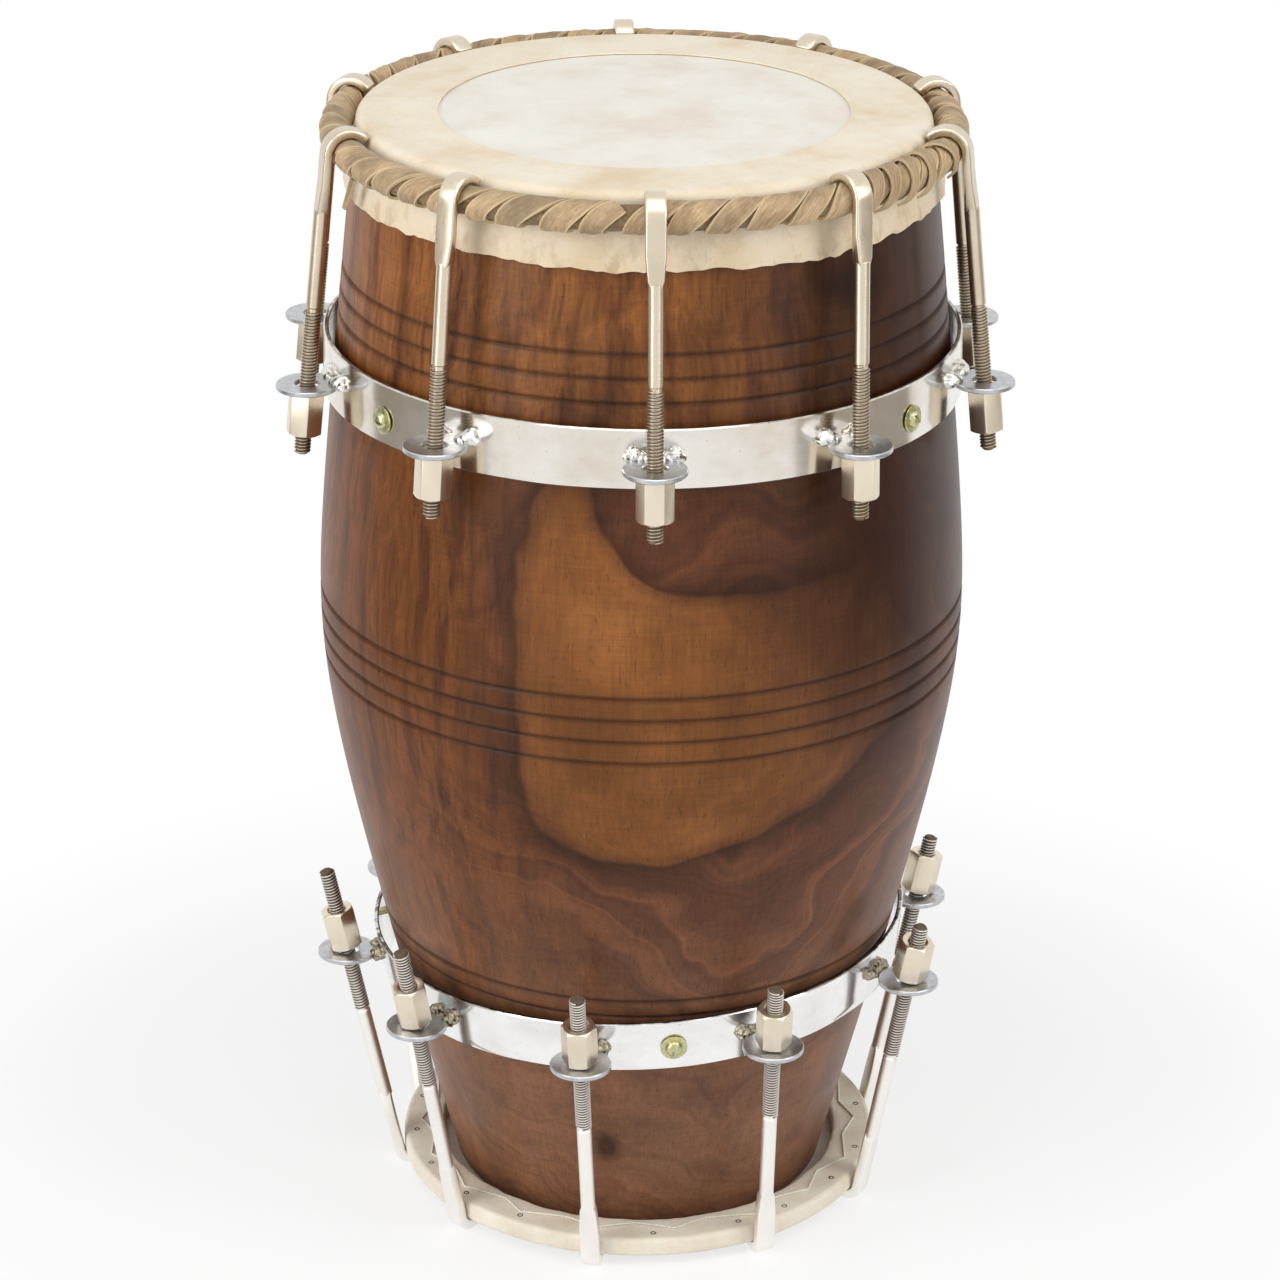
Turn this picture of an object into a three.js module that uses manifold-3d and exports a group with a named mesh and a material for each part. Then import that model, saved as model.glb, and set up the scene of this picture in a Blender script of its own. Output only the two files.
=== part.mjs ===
// Dholak: a two-headed barrel drum, turned from one log and tuned by threaded hooks.
// Millimetres, +Z up. The drum stands on the feet of its lower hooks: z = 0 is their underside.
// Azimuth 0 looks from the drum's axis towards -Y, and azimuths grow towards +X.

import * as THREE from 'three';
import { mergeVertices } from 'three/addons/utils/BufferGeometryUtils.js';
import Module from 'manifold-3d';

const wasm = await Module();
wasm.setup();

// General sizes
const clearance = 0.3;
const cutOverrun = 2;
const roundFacets = 36;
const smallFacets = 8;

// Shell: the turned log
const shellHeight = 440.8;
const bellyHeight = 248.8;
const bellyRadius = 126.4;
const bassRimFall = 17.2;
const trebleRimFall = 51.3;
const bassEase = 4;
const trebleEase = 17.5;
const rimWall = 11;
const bellyWall = 13.5;
const bearingLength = 18;
const bearingDepth = 2.2;
const bassRimRound = 2;
const trebleRimRound = 2;

// Turned lines: the depth below the bass rim or the height of the first line, and the step to the next
const lineWidth = 2.4;
const lineDepth = 1;
const bassLineDrop = 56.7;
const bassLineStep = 9.05;
const bassLines = 3;
const bellyLineRise = 5.1;
const bellyLineStep = 8.8;
const bellyLines = 4;
const trebleLineRise = 117;
const trebleLineStep = 7.5;
const trebleLines = 2;

// Skins and the ring of the bass head
const bassSkinThickness = 0.7;
const overskinThickness = 0.6;
const overskinWidth = 31.1;
const bassSkinDrop = 9;
const hemDrop = 24;
const hemTear = 2;
const hemLowAzimuth = 25;
const hemWaves = 7;
const hemWaveShare = 0.25;
const ringDrop = 5;

// Lashing: a flat thong wound slantwise round the bass ring
const lashTurns = 50;
const lashSteps = 6;
const lashRadius = 5.7;
const thongWidth = 8.8;
const thongThickness = 1.2;
const lashSway = 3.3;
const lashSwayAngle = 60;
const lashStartAngle = 200;
const lashOpenSteps = 2;

// Treble head
const trebleSkinThickness = 0.9;
const hoopRimGap = 6.9;
const hoopWidth = 14.1;
const hoopHeight = 5.8;
const wrapRound = 2;
const turnInMargin = 1;
const laceRadius = 0.6;
const laceMargin = 3;
const laceReach = 6;
const laceFacets = 5;

// Tension bands, each with its washers welded on
const bandThickness = 2;
const bassBandHeight = 23;
const bassBandDrop = 82.1;
const bassBandTopGap = 3;
const bassBandFootGap = 1.3;
const bassScrewLowering = 2;
const trebleBandHeight = 22;
const trebleBandRise = 87.2;
const trebleBandTopGap = 3.4;
const trebleBandFootGap = 5.2;
const trebleBandTilt = 2.6;
const trebleScrewLowering = 0.5;
const washerRadius = 11.9;
const washerHoleRadius = 4.75;
const washerThickness = 2;
const washerFacets = 12;
const bassWasherBite = 0.8;
const trebleWasherGap = 2.4;
const weldLength = 15;
const weldHeight = 5;
const weldBite = 1.9;

// Hooks: one rod each, threaded at one end and flattened into a claw at the other. The washers are welded
// on by eye, so their azimuths are listed, with the sideways lean of each rod and the drop of each washer.
const bassAzimuths = [2, 36.2, 74, 107, 145, 184.2, 220.5, 254, 290, 326];
const bassSideLeans = [0, -3.5, 0, 0, 0, 0, 0, 0, 0, 0];
const bassWasherDrops = [0, 0, 0, 0, 0, 0, 0, 0, 0, 0];
const trebleAzimuths = [-10.6, 25.4, 61.4, 106, 140, 173, 206, 239.5, 277.4, 313.4];
const trebleSideLeans = [0, 4.9, 3.8, 0, 0, 0, 0, 8, 0, 0];
const trebleWasherDrops = [0, 0, 0, 8, 0, 0, 0, 0, 0, 0];
const threadRadius = 3.175;
const shankRadius = 2.9;
const endChamfer = 0.8;
const threadStep = 0.6;
const clawWidth = 7.7;
const clawThickness = 3.2;
const footThickness = 4.2;
const clawCornerCut = 0.6;
const clawTaper = 2.5;
const clawTipNarrowing = 1.2;
const bassThreadReach = 30.5;
const bassThreadShow = 8;
const bassFlatLength = 20.5;
const clawGap = 0.35;
const clawBendSteps = 5;
const clawTipAngle = 36;
const trebleThreadReach = 33;
const trebleThreadShow = 12.4;
const trebleFlatLength = 25;
const footBendInside = 2.4;
const footBendSteps = 3;
const footReach = 13;
const footGap = 0.6;

// Long hexagon nuts
const nutSides = 6;
const nutAcrossFlats = 12.3;
const nutLength = 17;
const nutChamfer = 0.9;
const nutBoreRadius = 3.9;
const nutStartTurn = 4;
const nutTurnStep = 23;

// Band screws: a dome head, a washer and a shank in one
const screwHeadRadius = 3.4;
const screwHeadHeight = 2.4;
const screwWasherRadius = 5.25;
const screwWasherThickness = 0.8;
const screwShankRadius = 1.6;
const screwBite = 8;
const screwPoint = 2;
const bassScrewAzimuths = [-51, 54, 165];
const trebleScrewAzimuths = [7.4, 121, 258.5];

// Radii and heights worked out from the sizes above, the heights counted from the ground
const bassRimRadius = bellyRadius - bassRimFall;
const trebleRimRadius = bellyRadius - trebleRimFall;
const overskinOpening = bassRimRadius - overskinWidth;
const hoopInnerRadius = trebleRimRadius + hoopRimGap;
const hoopRadius = hoopInnerRadius + hoopWidth;
const turnInRadius = hoopInnerRadius + turnInMargin;
const laceInnerRadius = hoopInnerRadius + laceMargin;
const laceOuterRadius = laceInnerRadius + laceReach;
const hoopFootZ = footThickness + clearance;
const membraneTopZ = hoopFootZ + trebleSkinThickness;
const shellFootZ = membraneTopZ + clearance;
const shellTopZ = shellFootZ + shellHeight;
const wrapRadius = hoopRadius + clearance + trebleSkinThickness;
const wrapTopZ = hoopFootZ + hoopHeight + 2 * (clearance + trebleSkinThickness);
const headBuild = clearance + bassSkinThickness + clearance + overskinThickness;
const ringZ = shellTopZ - ringDrop;

// Geometry helpers

// Keeps positions only, merges shared corners, drops faces without area and turns all faces outwards.
function closedSolid(geometry) {
  const bare = new THREE.BufferGeometry();
  bare.setAttribute('position', geometry.getAttribute('position').clone());
  if (geometry.index) bare.setIndex(geometry.index.clone());
  const merged = mergeVertices(bare);
  const places = merged.getAttribute('position');
  const corners = merged.index.array;
  const kept = [];
  const a = new THREE.Vector3();
  const b = new THREE.Vector3();
  const c = new THREE.Vector3();
  let volume = 0;
  for (let i = 0; i < corners.length; i += 3) {
    const [p, q, r] = [corners[i], corners[i + 1], corners[i + 2]];
    if (p === q || q === r || r === p) continue;
    kept.push(p, q, r);
    a.fromBufferAttribute(places, p);
    b.fromBufferAttribute(places, q);
    c.fromBufferAttribute(places, r);
    volume += a.dot(b.cross(c));
  }
  if (volume < 0) kept.reverse();
  merged.setIndex(kept);
  return merged;
}

function toManifold(geometry) {
  const solid = closedSolid(geometry);
  return new wasm.Manifold(new wasm.Mesh({
    numProp: 3,
    vertProperties: new Float32Array(solid.getAttribute('position').array),
    triVerts: new Uint32Array(solid.index.array),
  }));
}

function fromManifold(manifold) {
  const mesh = manifold.getMesh();
  const geometry = new THREE.BufferGeometry();
  geometry.setAttribute('position', new THREE.BufferAttribute(mesh.vertProperties, 3));
  geometry.setIndex(Array.from(mesh.triVerts));
  return geometry;
}

function piece(name, geometry, material) {
  const solid = closedSolid(geometry);
  solid.computeVertexNormals();
  const mesh = new THREE.Mesh(solid, material);
  mesh.name = name;
  return mesh;
}

// Turns an outline of [radius, height] points about the Z axis.
function turned(outline, facets = roundFacets) {
  const points = outline.map(([radius, height]) => new THREE.Vector2(radius, height));
  return new THREE.LatheGeometry(points, facets).rotateX(Math.PI / 2);
}

// The same for an outline that closes on itself away from the axis.
function turnedRing(outline, facets = roundFacets) {
  return turned([...outline, outline[0]], facets);
}

// Joins rings of equal count into one skin. Each four-cornered patch is split along its shorter diagonal,
// or along its longer one for a thong wound slantwise, which keeps it clear of the bar inside.
function loft(rings, closed = false, wound = false) {
  const count = rings[0].length;
  const corners = rings.flat();
  const faces = [];
  const spans = closed ? rings.length : rings.length - 1;
  for (let i = 0; i < spans; i += 1) {
    const near = i * count;
    const far = ((i + 1) % rings.length) * count;
    for (let j = 0; j < count; j += 1) {
      const k = (j + 1) % count;
      const straight = corners[near + j].distanceTo(corners[far + k]);
      const crossed = corners[near + k].distanceTo(corners[far + j]);
      if ((straight < crossed) !== wound) {
        faces.push(near + j, near + k, far + k, near + j, far + k, far + j);
      } else {
        faces.push(near + j, near + k, far + j, near + k, far + k, far + j);
      }
    }
  }
  if (!closed) {
    const last = (rings.length - 1) * count;
    for (let j = 1; j < count - 1; j += 1) {
      faces.push(0, j + 1, j);
      faces.push(last, last + j, last + j + 1);
    }
  }
  const geometry = new THREE.BufferGeometry().setFromPoints(corners);
  geometry.setIndex(faces);
  return geometry;
}

// A frame whose +X points away from the drum's axis at the given azimuth.
function spoke(azimuth) {
  return new THREE.Matrix4().makeRotationZ(THREE.MathUtils.degToRad(azimuth) - Math.PI / 2);
}

function mix(start, end, share) {
  return start + (end - start) * share;
}

function twoDigits(number) {
  return String(number).padStart(2, '0');
}

// Materials

function finish(color, roughness, metalness) {
  return new THREE.MeshStandardMaterial({ color, roughness, metalness, flatShading: true });
}

const lacqueredWood = finish('#5c2f22', 0.35, 0);
const bandSteel = finish('#c9c6c0', 0.2, 1);
const hookNickel = finish('#c8bca4', 0.3, 1);
const nutNickel = finish('#cbbd9f', 0.3, 1);
const screwZinc = finish('#b9b56a', 0.35, 1);
const hoopIron = finish('#6f6a66', 0.6, 1);
const paleSkin = finish('#ebe6df', 0.7, 0);
const creamSkin = finish('#e6d6bd', 0.7, 0);
const hoopSkin = finish('#e2d5c2', 0.8, 0);
const thongLeather = finish('#a98c66', 0.85, 0);
const ringCane = finish('#8a6a45', 0.9, 0);
const laceThread = finish('#e9e3d6', 0.9, 0);

// Shell: two flares that ease into one round belly

// Outer radius at a height above the treble rim, before the bearing edge is cut.
function shellRadius(height) {
  const upper = height > bellyHeight;
  const ease = upper ? bassEase : trebleEase;
  const run = upper ? shellHeight - bellyHeight : bellyHeight;
  const rimRadius = upper ? bassRimRadius : trebleRimRadius;
  const fall = bellyRadius - rimRadius + ease;
  const slope = Math.sqrt(fall * fall - ease * ease) / run;
  return bellyRadius + ease - Math.hypot(ease, slope * (height - bellyHeight));
}

// Outer radius with the tapered bearing edge that the bass skins are drawn over.
function bearingRadius(height) {
  const start = shellHeight - bearingLength;
  const end = shellHeight - bassRimRound;
  const cut = THREE.MathUtils.clamp((height - start) / (end - start), 0, 1);
  return shellRadius(height) - bearingDepth * cut;
}

function shellWall(height) {
  return mix(rimWall, bellyWall, Math.sin(Math.PI * height / shellHeight));
}

function lineHeights() {
  const heights = [];
  for (let i = 0; i < bassLines; i += 1) heights.push(shellHeight - bassLineDrop - i * bassLineStep);
  for (let i = 0; i < bellyLines; i += 1) heights.push(bellyHeight + bellyLineRise - i * bellyLineStep);
  for (let i = 0; i < trebleLines; i += 1) heights.push(trebleLineRise - i * trebleLineStep);
  return heights;
}

// Heights, as shares of the shell's, where its plain outline has a point.
const outlineShares = [0.1, 0.18, 0.34, 0.42, 0.48, 0.63, 0.71, 0.79, 0.915];
const boreShares = [1, 0.72, 0.56, 0.36, 0];

function shellOutline() {
  const lines = lineHeights();
  const points = [];
  for (const height of lines) {
    points.push([shellRadius(height - lineWidth / 2), height - lineWidth / 2]);
    points.push([shellRadius(height) - lineDepth, height]);
    points.push([shellRadius(height + lineWidth / 2), height + lineWidth / 2]);
  }
  for (const share of outlineShares) {
    const height = share * shellHeight;
    const free = lines.every((line) => Math.abs(line - height) > lineWidth);
    if (free && height > trebleRimRound && height < shellHeight - bearingLength) {
      points.push([shellRadius(height), height]);
    }
  }
  points.push([shellRadius(shellHeight - bearingLength), shellHeight - bearingLength]);
  points.sort((first, second) => first[1] - second[1]);
  const foot = shellRadius(trebleRimRound) - trebleRimRound;
  const top = bearingRadius(shellHeight - bassRimRound) - bassRimRound;
  const arc = Math.SQRT1_2;
  return [
    [foot, 0],
    [foot + trebleRimRound * arc, trebleRimRound * (1 - arc)],
    [foot + trebleRimRound, trebleRimRound],
    ...points,
    [top + bassRimRound, shellHeight - bassRimRound],
    [top + bassRimRound * arc, shellHeight - bassRimRound * (1 - arc)],
    [top, shellHeight],
    ...boreShares.map((share) => [
      shellRadius(share * shellHeight) - shellWall(share * shellHeight),
      share * shellHeight,
    ]),
  ];
}

// Bands: cones that follow the shell at a distance

const bassBand = {
  footZ: shellTopZ - bassBandDrop - bassBandHeight,
  height: bassBandHeight,
  footGap: bassBandFootGap,
  topGap: bassBandTopGap,
  tilt: 0,
  screwLowering: bassScrewLowering,
  screwAzimuths: bassScrewAzimuths,
};

const trebleBand = {
  footZ: shellFootZ + trebleBandRise,
  height: trebleBandHeight,
  footGap: trebleBandFootGap,
  topGap: trebleBandTopGap,
  tilt: trebleBandTilt,
  screwLowering: trebleScrewLowering,
  screwAzimuths: trebleScrewAzimuths,
};

function bandMidZ(band) {
  return band.footZ + band.height / 2;
}

// Inner radius of a band at a height above the ground, untilted.
function bandInnerRadius(band, z) {
  const foot = shellRadius(band.footZ - shellFootZ) + band.footGap;
  const top = shellRadius(band.footZ + band.height - shellFootZ) + band.topGap;
  return mix(foot, top, (z - band.footZ) / band.height);
}

// The frame that a band and its screws are tilted in, about the middle of the band.
function bandFrame(band) {
  const tilt = new THREE.Matrix4().makeRotationY(-THREE.MathUtils.degToRad(band.tilt));
  const lift = new THREE.Matrix4().makeTranslation(0, 0, bandMidZ(band));
  const drop = new THREE.Matrix4().makeTranslation(0, 0, -bandMidZ(band));
  return lift.multiply(tilt).multiply(drop);
}

// Where a screw sits on a band's outer face, a little below its middle: +X points out of the metal.
function screwPlace(band, azimuth) {
  const foot = bandInnerRadius(band, band.footZ);
  const top = bandInnerRadius(band, band.footZ + band.height);
  const slope = Math.atan2(top - foot, band.height);
  const z = bandMidZ(band) - band.screwLowering;
  const out = new THREE.Matrix4().makeTranslation(bandInnerRadius(band, z) + bandThickness, 0, z);
  return bandFrame(band)
    .multiply(spoke(azimuth))
    .multiply(out)
    .multiply(new THREE.Matrix4().makeRotationY(slope));
}

// Rod lines: each hook's rod lies in a plane through the drum's axis and leans

const ringRadius = bearingRadius(ringZ - shellFootZ) + headBuild + clearance + lashRadius
  + thongThickness / 2 + clearance / 2;
const clawBend = lashRadius + thongThickness / 2 + clawGap + clawThickness / 2;
const footBend = footBendInside + footThickness / 2;
const bassWasherZ = bandMidZ(bassBand);
const trebleWasherZ = bandMidZ(trebleBand);

function bassRodLine() {
  const washer = bandInnerRadius(bassBand, bassWasherZ) + bandThickness + washerRadius - bassWasherBite;
  const reach = Math.hypot(washer - ringRadius, ringZ - bassWasherZ);
  const lean = Math.atan2(washer - ringRadius, ringZ - bassWasherZ) - Math.asin(clawBend / reach);
  return {
    lean: -lean,
    radius: ringRadius + clawBend * Math.cos(lean),
    z: ringZ + clawBend * Math.sin(lean),
  };
}

function trebleRodLine() {
  const washer = bandInnerRadius(trebleBand, trebleWasherZ) + bandThickness + trebleWasherGap
    + washerRadius;
  const seatZ = hoopFootZ + wrapRound;
  const seat = wrapRadius + footGap + footThickness / 2;
  const lean = Math.atan2(washer - seat, trebleWasherZ - seatZ);
  const bendZ = footThickness / 2 + footBend;
  const bendRadius = seat + (bendZ - seatZ) * Math.tan(lean) - footBend / Math.cos(lean);
  return {
    lean,
    radius: bendRadius + footBend * Math.cos(lean),
    z: bendZ - footBend * Math.sin(lean),
  };
}

const bassRod = bassRodLine();
const trebleRod = trebleRodLine();

function rodRadiusAt(rod, z) {
  return rod.radius + (z - rod.z) * Math.tan(rod.lean);
}

// One entry per hook: where its washer is on the band, tilted or not, and how its rod leans sideways.
// A rod whose washer was welded on lower is cut shorter by as much.
function hookPlaces(band, rod, azimuths, sideLeans, drops) {
  return azimuths.map((azimuth, i) => {
    const out = rodRadiusAt(rod, bandMidZ(band)) * Math.sin(THREE.MathUtils.degToRad(azimuth));
    const rise = out * Math.tan(THREE.MathUtils.degToRad(band.tilt));
    return {
      azimuth,
      sideLean: THREE.MathUtils.degToRad(sideLeans[i]),
      washerZ: bandMidZ(band) + rise - drops[i],
      drop: drops[i],
    };
  });
}

const bassPlaces = hookPlaces(bassBand, bassRod, bassAzimuths, bassSideLeans, bassWasherDrops);
const treblePlaces = hookPlaces(trebleBand, trebleRod, trebleAzimuths, trebleSideLeans, trebleWasherDrops);

// Distance along a leaning rod from a washer's middle to the near end of the nut that bears on it.
function nutSeat(rod, sideLean = 0) {
  const lean = Math.atan(Math.hypot(Math.tan(rod.lean), Math.tan(sideLean)));
  const endRadius = nutAcrossFlats / Math.sqrt(3) - nutChamfer;
  return (washerThickness / 2 + clearance + endRadius * Math.sin(lean)) / Math.cos(lean);
}

// Band solids

function washerSolid(rod, z) {
  const outline = new THREE.Shape();
  outline.absarc(0, 0, washerRadius, 0, 2 * Math.PI);
  const hole = new THREE.Path();
  hole.absarc(0, 0, washerHoleRadius, 0, 2 * Math.PI, true);
  outline.holes.push(hole);
  const ring = new THREE.ExtrudeGeometry(outline, {
    depth: washerThickness,
    bevelEnabled: false,
    curveSegments: washerFacets / 2,
  });
  return ring.translate(rodRadiusAt(rod, z), 0, z - washerThickness / 2);
}

// A bead of weld metal that bridges the band and a washer's inner edge.
function weldSolid(band, rod, z, drop) {
  const inner = rodRadiusAt(rod, z) - washerRadius;
  const face = bandInnerRadius(band, bandMidZ(band) - drop) + bandThickness;
  const bead = new THREE.IcosahedronGeometry(1, 0);
  bead.scale(Math.abs(inner - face) / 2 + weldBite, weldLength / 2, weldHeight / 2);
  return bead.translate((inner + face) / 2, 0, z);
}

function bandSolid(band, rod, places) {
  const topZ = band.footZ + band.height;
  const foot = bandInnerRadius(band, band.footZ);
  const top = bandInnerRadius(band, topZ);
  const strip = turnedRing([
    [foot, band.footZ],
    [foot + bandThickness, band.footZ],
    [top + bandThickness, topZ],
    [top, topZ],
  ]);
  let solid = toManifold(strip.applyMatrix4(bandFrame(band)));
  places.forEach(({ azimuth, washerZ, drop }) => {
    for (const addition of [washerSolid(rod, washerZ), weldSolid(band, rod, washerZ, drop)]) {
      solid = solid.add(toManifold(addition.applyMatrix4(spoke(azimuth))));
    }
  });
  for (const azimuth of band.screwAzimuths) {
    solid = solid.subtract(toManifold(screwHole(band, azimuth)));
  }
  return fromManifold(solid);
}

// Band screws and the shell that they bite into

function screwReach(band) {
  const gap = (band.footGap + band.topGap) / 2;
  return bandThickness + gap + screwBite;
}

// A clearance hole for a screw's shank, through the band and on into the wood.
function screwHole(band, azimuth) {
  const radius = screwShankRadius + clearance;
  const depth = screwReach(band) + clearance;
  const hole = new THREE.CylinderGeometry(radius, radius, depth + cutOverrun, smallFacets);
  hole.rotateZ(Math.PI / 2).translate((cutOverrun - depth) / 2, 0, 0);
  return hole.applyMatrix4(screwPlace(band, azimuth));
}

function screwSolid(band) {
  const underside = clearance;
  const washerTop = underside + screwWasherThickness;
  return turned([
    [0, -screwReach(band)],
    [screwShankRadius, screwPoint - screwReach(band)],
    [screwShankRadius, underside],
    [screwWasherRadius, underside],
    [screwWasherRadius, washerTop],
    [screwHeadRadius, washerTop],
    [screwHeadRadius * Math.SQRT1_2, washerTop + screwHeadHeight * Math.SQRT1_2],
    [0, washerTop + screwHeadHeight],
  ], smallFacets).rotateY(Math.PI / 2);
}

function screws(name, band) {
  return band.screwAzimuths.map((azimuth, index) => {
    const mesh = piece(`${name}_${index + 1}`, screwSolid(band), screwZinc);
    mesh.applyMatrix4(screwPlace(band, azimuth));
    return mesh;
  });
}

function shellSolid() {
  const outline = shellOutline().map(([radius, height]) => [radius, height + shellFootZ]);
  let solid = toManifold(turnedRing(outline));
  for (const band of [bassBand, trebleBand]) {
    for (const azimuth of band.screwAzimuths) {
      solid = solid.subtract(toManifold(screwHole(band, azimuth)));
    }
  }
  return fromManifold(solid);
}

// Skins of the bass head

// Half an outline that follows the bass rim at an offset, from a start radius down to a hem.
function overRim(offset, startRadius, drop) {
  const edgeRadius = bearingRadius(shellHeight - bassRimRound);
  const centre = edgeRadius - bassRimRound;
  const round = bassRimRound + offset;
  const arc = Math.SQRT1_2;
  const shoulderZ = shellTopZ - bassRimRound;
  const points = [
    [startRadius, shellTopZ + offset],
    [centre, shellTopZ + offset],
    [centre + round * arc, shoulderZ + round * arc],
    [centre + round, shoulderZ],
  ];
  if (drop > bearingLength) {
    points.push([shellRadius(shellHeight - bearingLength) + offset, shellTopZ - bearingLength]);
  }
  points.push([bearingRadius(shellHeight - drop) + offset, shellTopZ - drop]);
  return points;
}

function bassSkin() {
  const inside = overRim(clearance, 0, bassSkinDrop);
  const outside = overRim(clearance + bassSkinThickness, 0, bassSkinDrop);
  return turned([...inside, ...outside.reverse()]);
}

// The hem of the over-skin is torn: its edge wanders up and down round the drum.
function tornHem(geometry, hemZ, tear) {
  const places = geometry.getAttribute('position');
  for (let i = 0; i < places.count; i += 1) {
    if (Math.abs(places.getZ(i) - hemZ) < clearance) {
      const turn = Math.atan2(places.getX(i), -places.getY(i));
      const lowest = THREE.MathUtils.degToRad(hemLowAzimuth);
      const wander = hemWaveShare * Math.sin(hemWaves * turn) - Math.cos(turn - lowest);
      places.setZ(i, hemZ + tear * wander);
    }
  }
  return geometry;
}

function bassOverskin() {
  const offset = clearance + bassSkinThickness + clearance;
  const inside = overRim(offset, overskinOpening, hemDrop);
  const outside = overRim(offset + overskinThickness, overskinOpening, hemDrop);
  const skin = turnedRing([...inside, ...outside.reverse()]);
  return tornHem(skin, shellTopZ - hemDrop, hemTear);
}

// Lashing

function lashStations() {
  const pitch = 2 * Math.PI * ringRadius / lashTurns;
  const sway = THREE.MathUtils.degToRad(lashSwayAngle);
  const start = THREE.MathUtils.degToRad(lashStartAngle);
  const stations = [];
  for (let i = 0; i < lashTurns * lashSteps - lashOpenSteps; i += 1) {
    const turn = start + i * 2 * Math.PI / lashSteps;
    const swayed = Math.sin(turn - sway) - Math.sin(start - sway);
    const run = pitch * (turn - start) / (2 * Math.PI) + lashSway * swayed;
    const climb = pitch / (2 * Math.PI) + lashSway * Math.cos(turn - sway);
    stations.push({ turn, run, slant: Math.atan2(climb, lashRadius) });
  }
  return stations;
}

// A point of the thong: how far along and round the ring, and how far off the ring's centre line.
function lashPoint(run, turn, distance) {
  const azimuth = run / ringRadius;
  const radius = ringRadius + distance * Math.cos(turn);
  return new THREE.Vector3(
    radius * Math.sin(azimuth),
    -radius * Math.cos(azimuth),
    ringZ + distance * Math.sin(turn),
  );
}

function thongCorner({ turn, run, slant }, side, distance) {
  const across = side * thongWidth / 2;
  const along = across * Math.cos(slant);
  const round = across * Math.sin(slant) / lashRadius;
  return lashPoint(run + along, turn - round, distance);
}

function thongRings() {
  const outer = lashRadius + thongThickness / 2;
  const inner = lashRadius - thongThickness / 2;
  return lashStations().map((station) => [
    thongCorner(station, -1, outer),
    thongCorner(station, 1, outer),
    thongCorner(station, 1, inner),
    thongCorner(station, -1, inner),
  ]);
}

// Shares of a step at which the thong's edges are sampled.
const sampleShares = [0, 0.25, 0.5, 0.75];

// Least gap between neighbouring turns, measured on points along the thong's four edges.
function leastLashGap(rings) {
  const samples = [];
  for (let i = 0; i < rings.length - 1; i += 1) {
    const points = [];
    for (const share of sampleShares) {
      for (let j = 0; j < rings[i].length; j += 1) {
        points.push(rings[i][j].clone().lerp(rings[i + 1][j], share));
      }
    }
    samples.push(points);
  }
  let least = Infinity;
  for (let i = 0; i < samples.length; i += 1) {
    for (let ahead = lashSteps / 2; ahead <= lashSteps * 2; ahead += 1) {
      const other = samples[(i + ahead) % samples.length];
      for (const point of samples[i]) {
        for (const neighbour of other) least = Math.min(least, point.distanceTo(neighbour));
      }
    }
  }
  return least;
}

// The round ring inside the lashing clears the flats of the thong's inner side.
function bassRing() {
  const widest = Math.max(...lashStations().map(({ slant }) => Math.abs(Math.sin(slant))));
  const halfSpan = Math.max(widest * thongWidth / 2 / lashRadius, Math.PI / lashSteps);
  const sag = ringRadius * (1 - Math.cos(Math.PI / roundFacets));
  const radius = (lashRadius - thongThickness / 2) * Math.cos(halfSpan) - clearance - sag / 2;
  const section = [];
  for (let i = 0; i < lashSteps; i += 1) {
    const turn = 2 * Math.PI * i / lashSteps;
    section.push([ringRadius + sag / 2 + radius * Math.cos(turn), ringZ + radius * Math.sin(turn)]);
  }
  return turnedRing(section);
}

// Treble head

function trebleSkin() {
  const thickness = trebleSkinThickness;
  const round = wrapRadius - wrapRound;
  const arc = Math.SQRT1_2;
  return turned([
    [0, hoopFootZ],
    [round, hoopFootZ],
    [round + wrapRound * arc, hoopFootZ + wrapRound * (1 - arc)],
    [wrapRadius, hoopFootZ + wrapRound],
    [wrapRadius, wrapTopZ - wrapRound],
    [round, wrapTopZ],
    [turnInRadius, wrapTopZ],
    [turnInRadius, wrapTopZ - thickness],
    [round, wrapTopZ - thickness],
    [wrapRadius - thickness, wrapTopZ - wrapRound],
    [wrapRadius - thickness, hoopFootZ + wrapRound],
    [round, hoopFootZ + thickness],
    [0, hoopFootZ + thickness],
  ]);
}

function trebleHoop() {
  const footZ = hoopFootZ + trebleSkinThickness + clearance;
  const topZ = footZ + hoopHeight;
  const cut = wrapRound - trebleSkinThickness;
  return turnedRing([
    [hoopInnerRadius, footZ],
    [hoopRadius - cut, footZ],
    [hoopRadius, footZ + cut],
    [hoopRadius, topZ - cut],
    [hoopRadius - cut, topZ],
    [hoopInnerRadius, topZ],
  ]);
}

// A thread laid in a zigzag on the turned-in skin, joined into one loop.
function trebleLacing() {
  const z = wrapTopZ + clearance + laceRadius;
  const places = [];
  for (let i = 0; i < roundFacets; i += 1) {
    const azimuth = 2 * Math.PI * i / roundFacets;
    const radius = i % 2 ? laceOuterRadius : laceInnerRadius;
    places.push(new THREE.Vector3(radius * Math.sin(azimuth), -radius * Math.cos(azimuth), z));
  }
  const up = new THREE.Vector3(0, 0, 1);
  const rings = places.map((place, i) => {
    const before = places[(i + roundFacets - 1) % roundFacets];
    const after = places[(i + 1) % roundFacets];
    const aside = after.clone().sub(before).cross(up).normalize();
    const ring = [];
    for (let j = 0; j < laceFacets; j += 1) {
      const turn = 2 * Math.PI * j / laceFacets - Math.PI / 2;
      ring.push(place.clone()
        .addScaledVector(aside, laceRadius * Math.cos(turn))
        .addScaledVector(up, laceRadius * Math.sin(turn)));
    }
    return ring;
  });
  return loft(rings, true);
}

// Hooks

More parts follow.
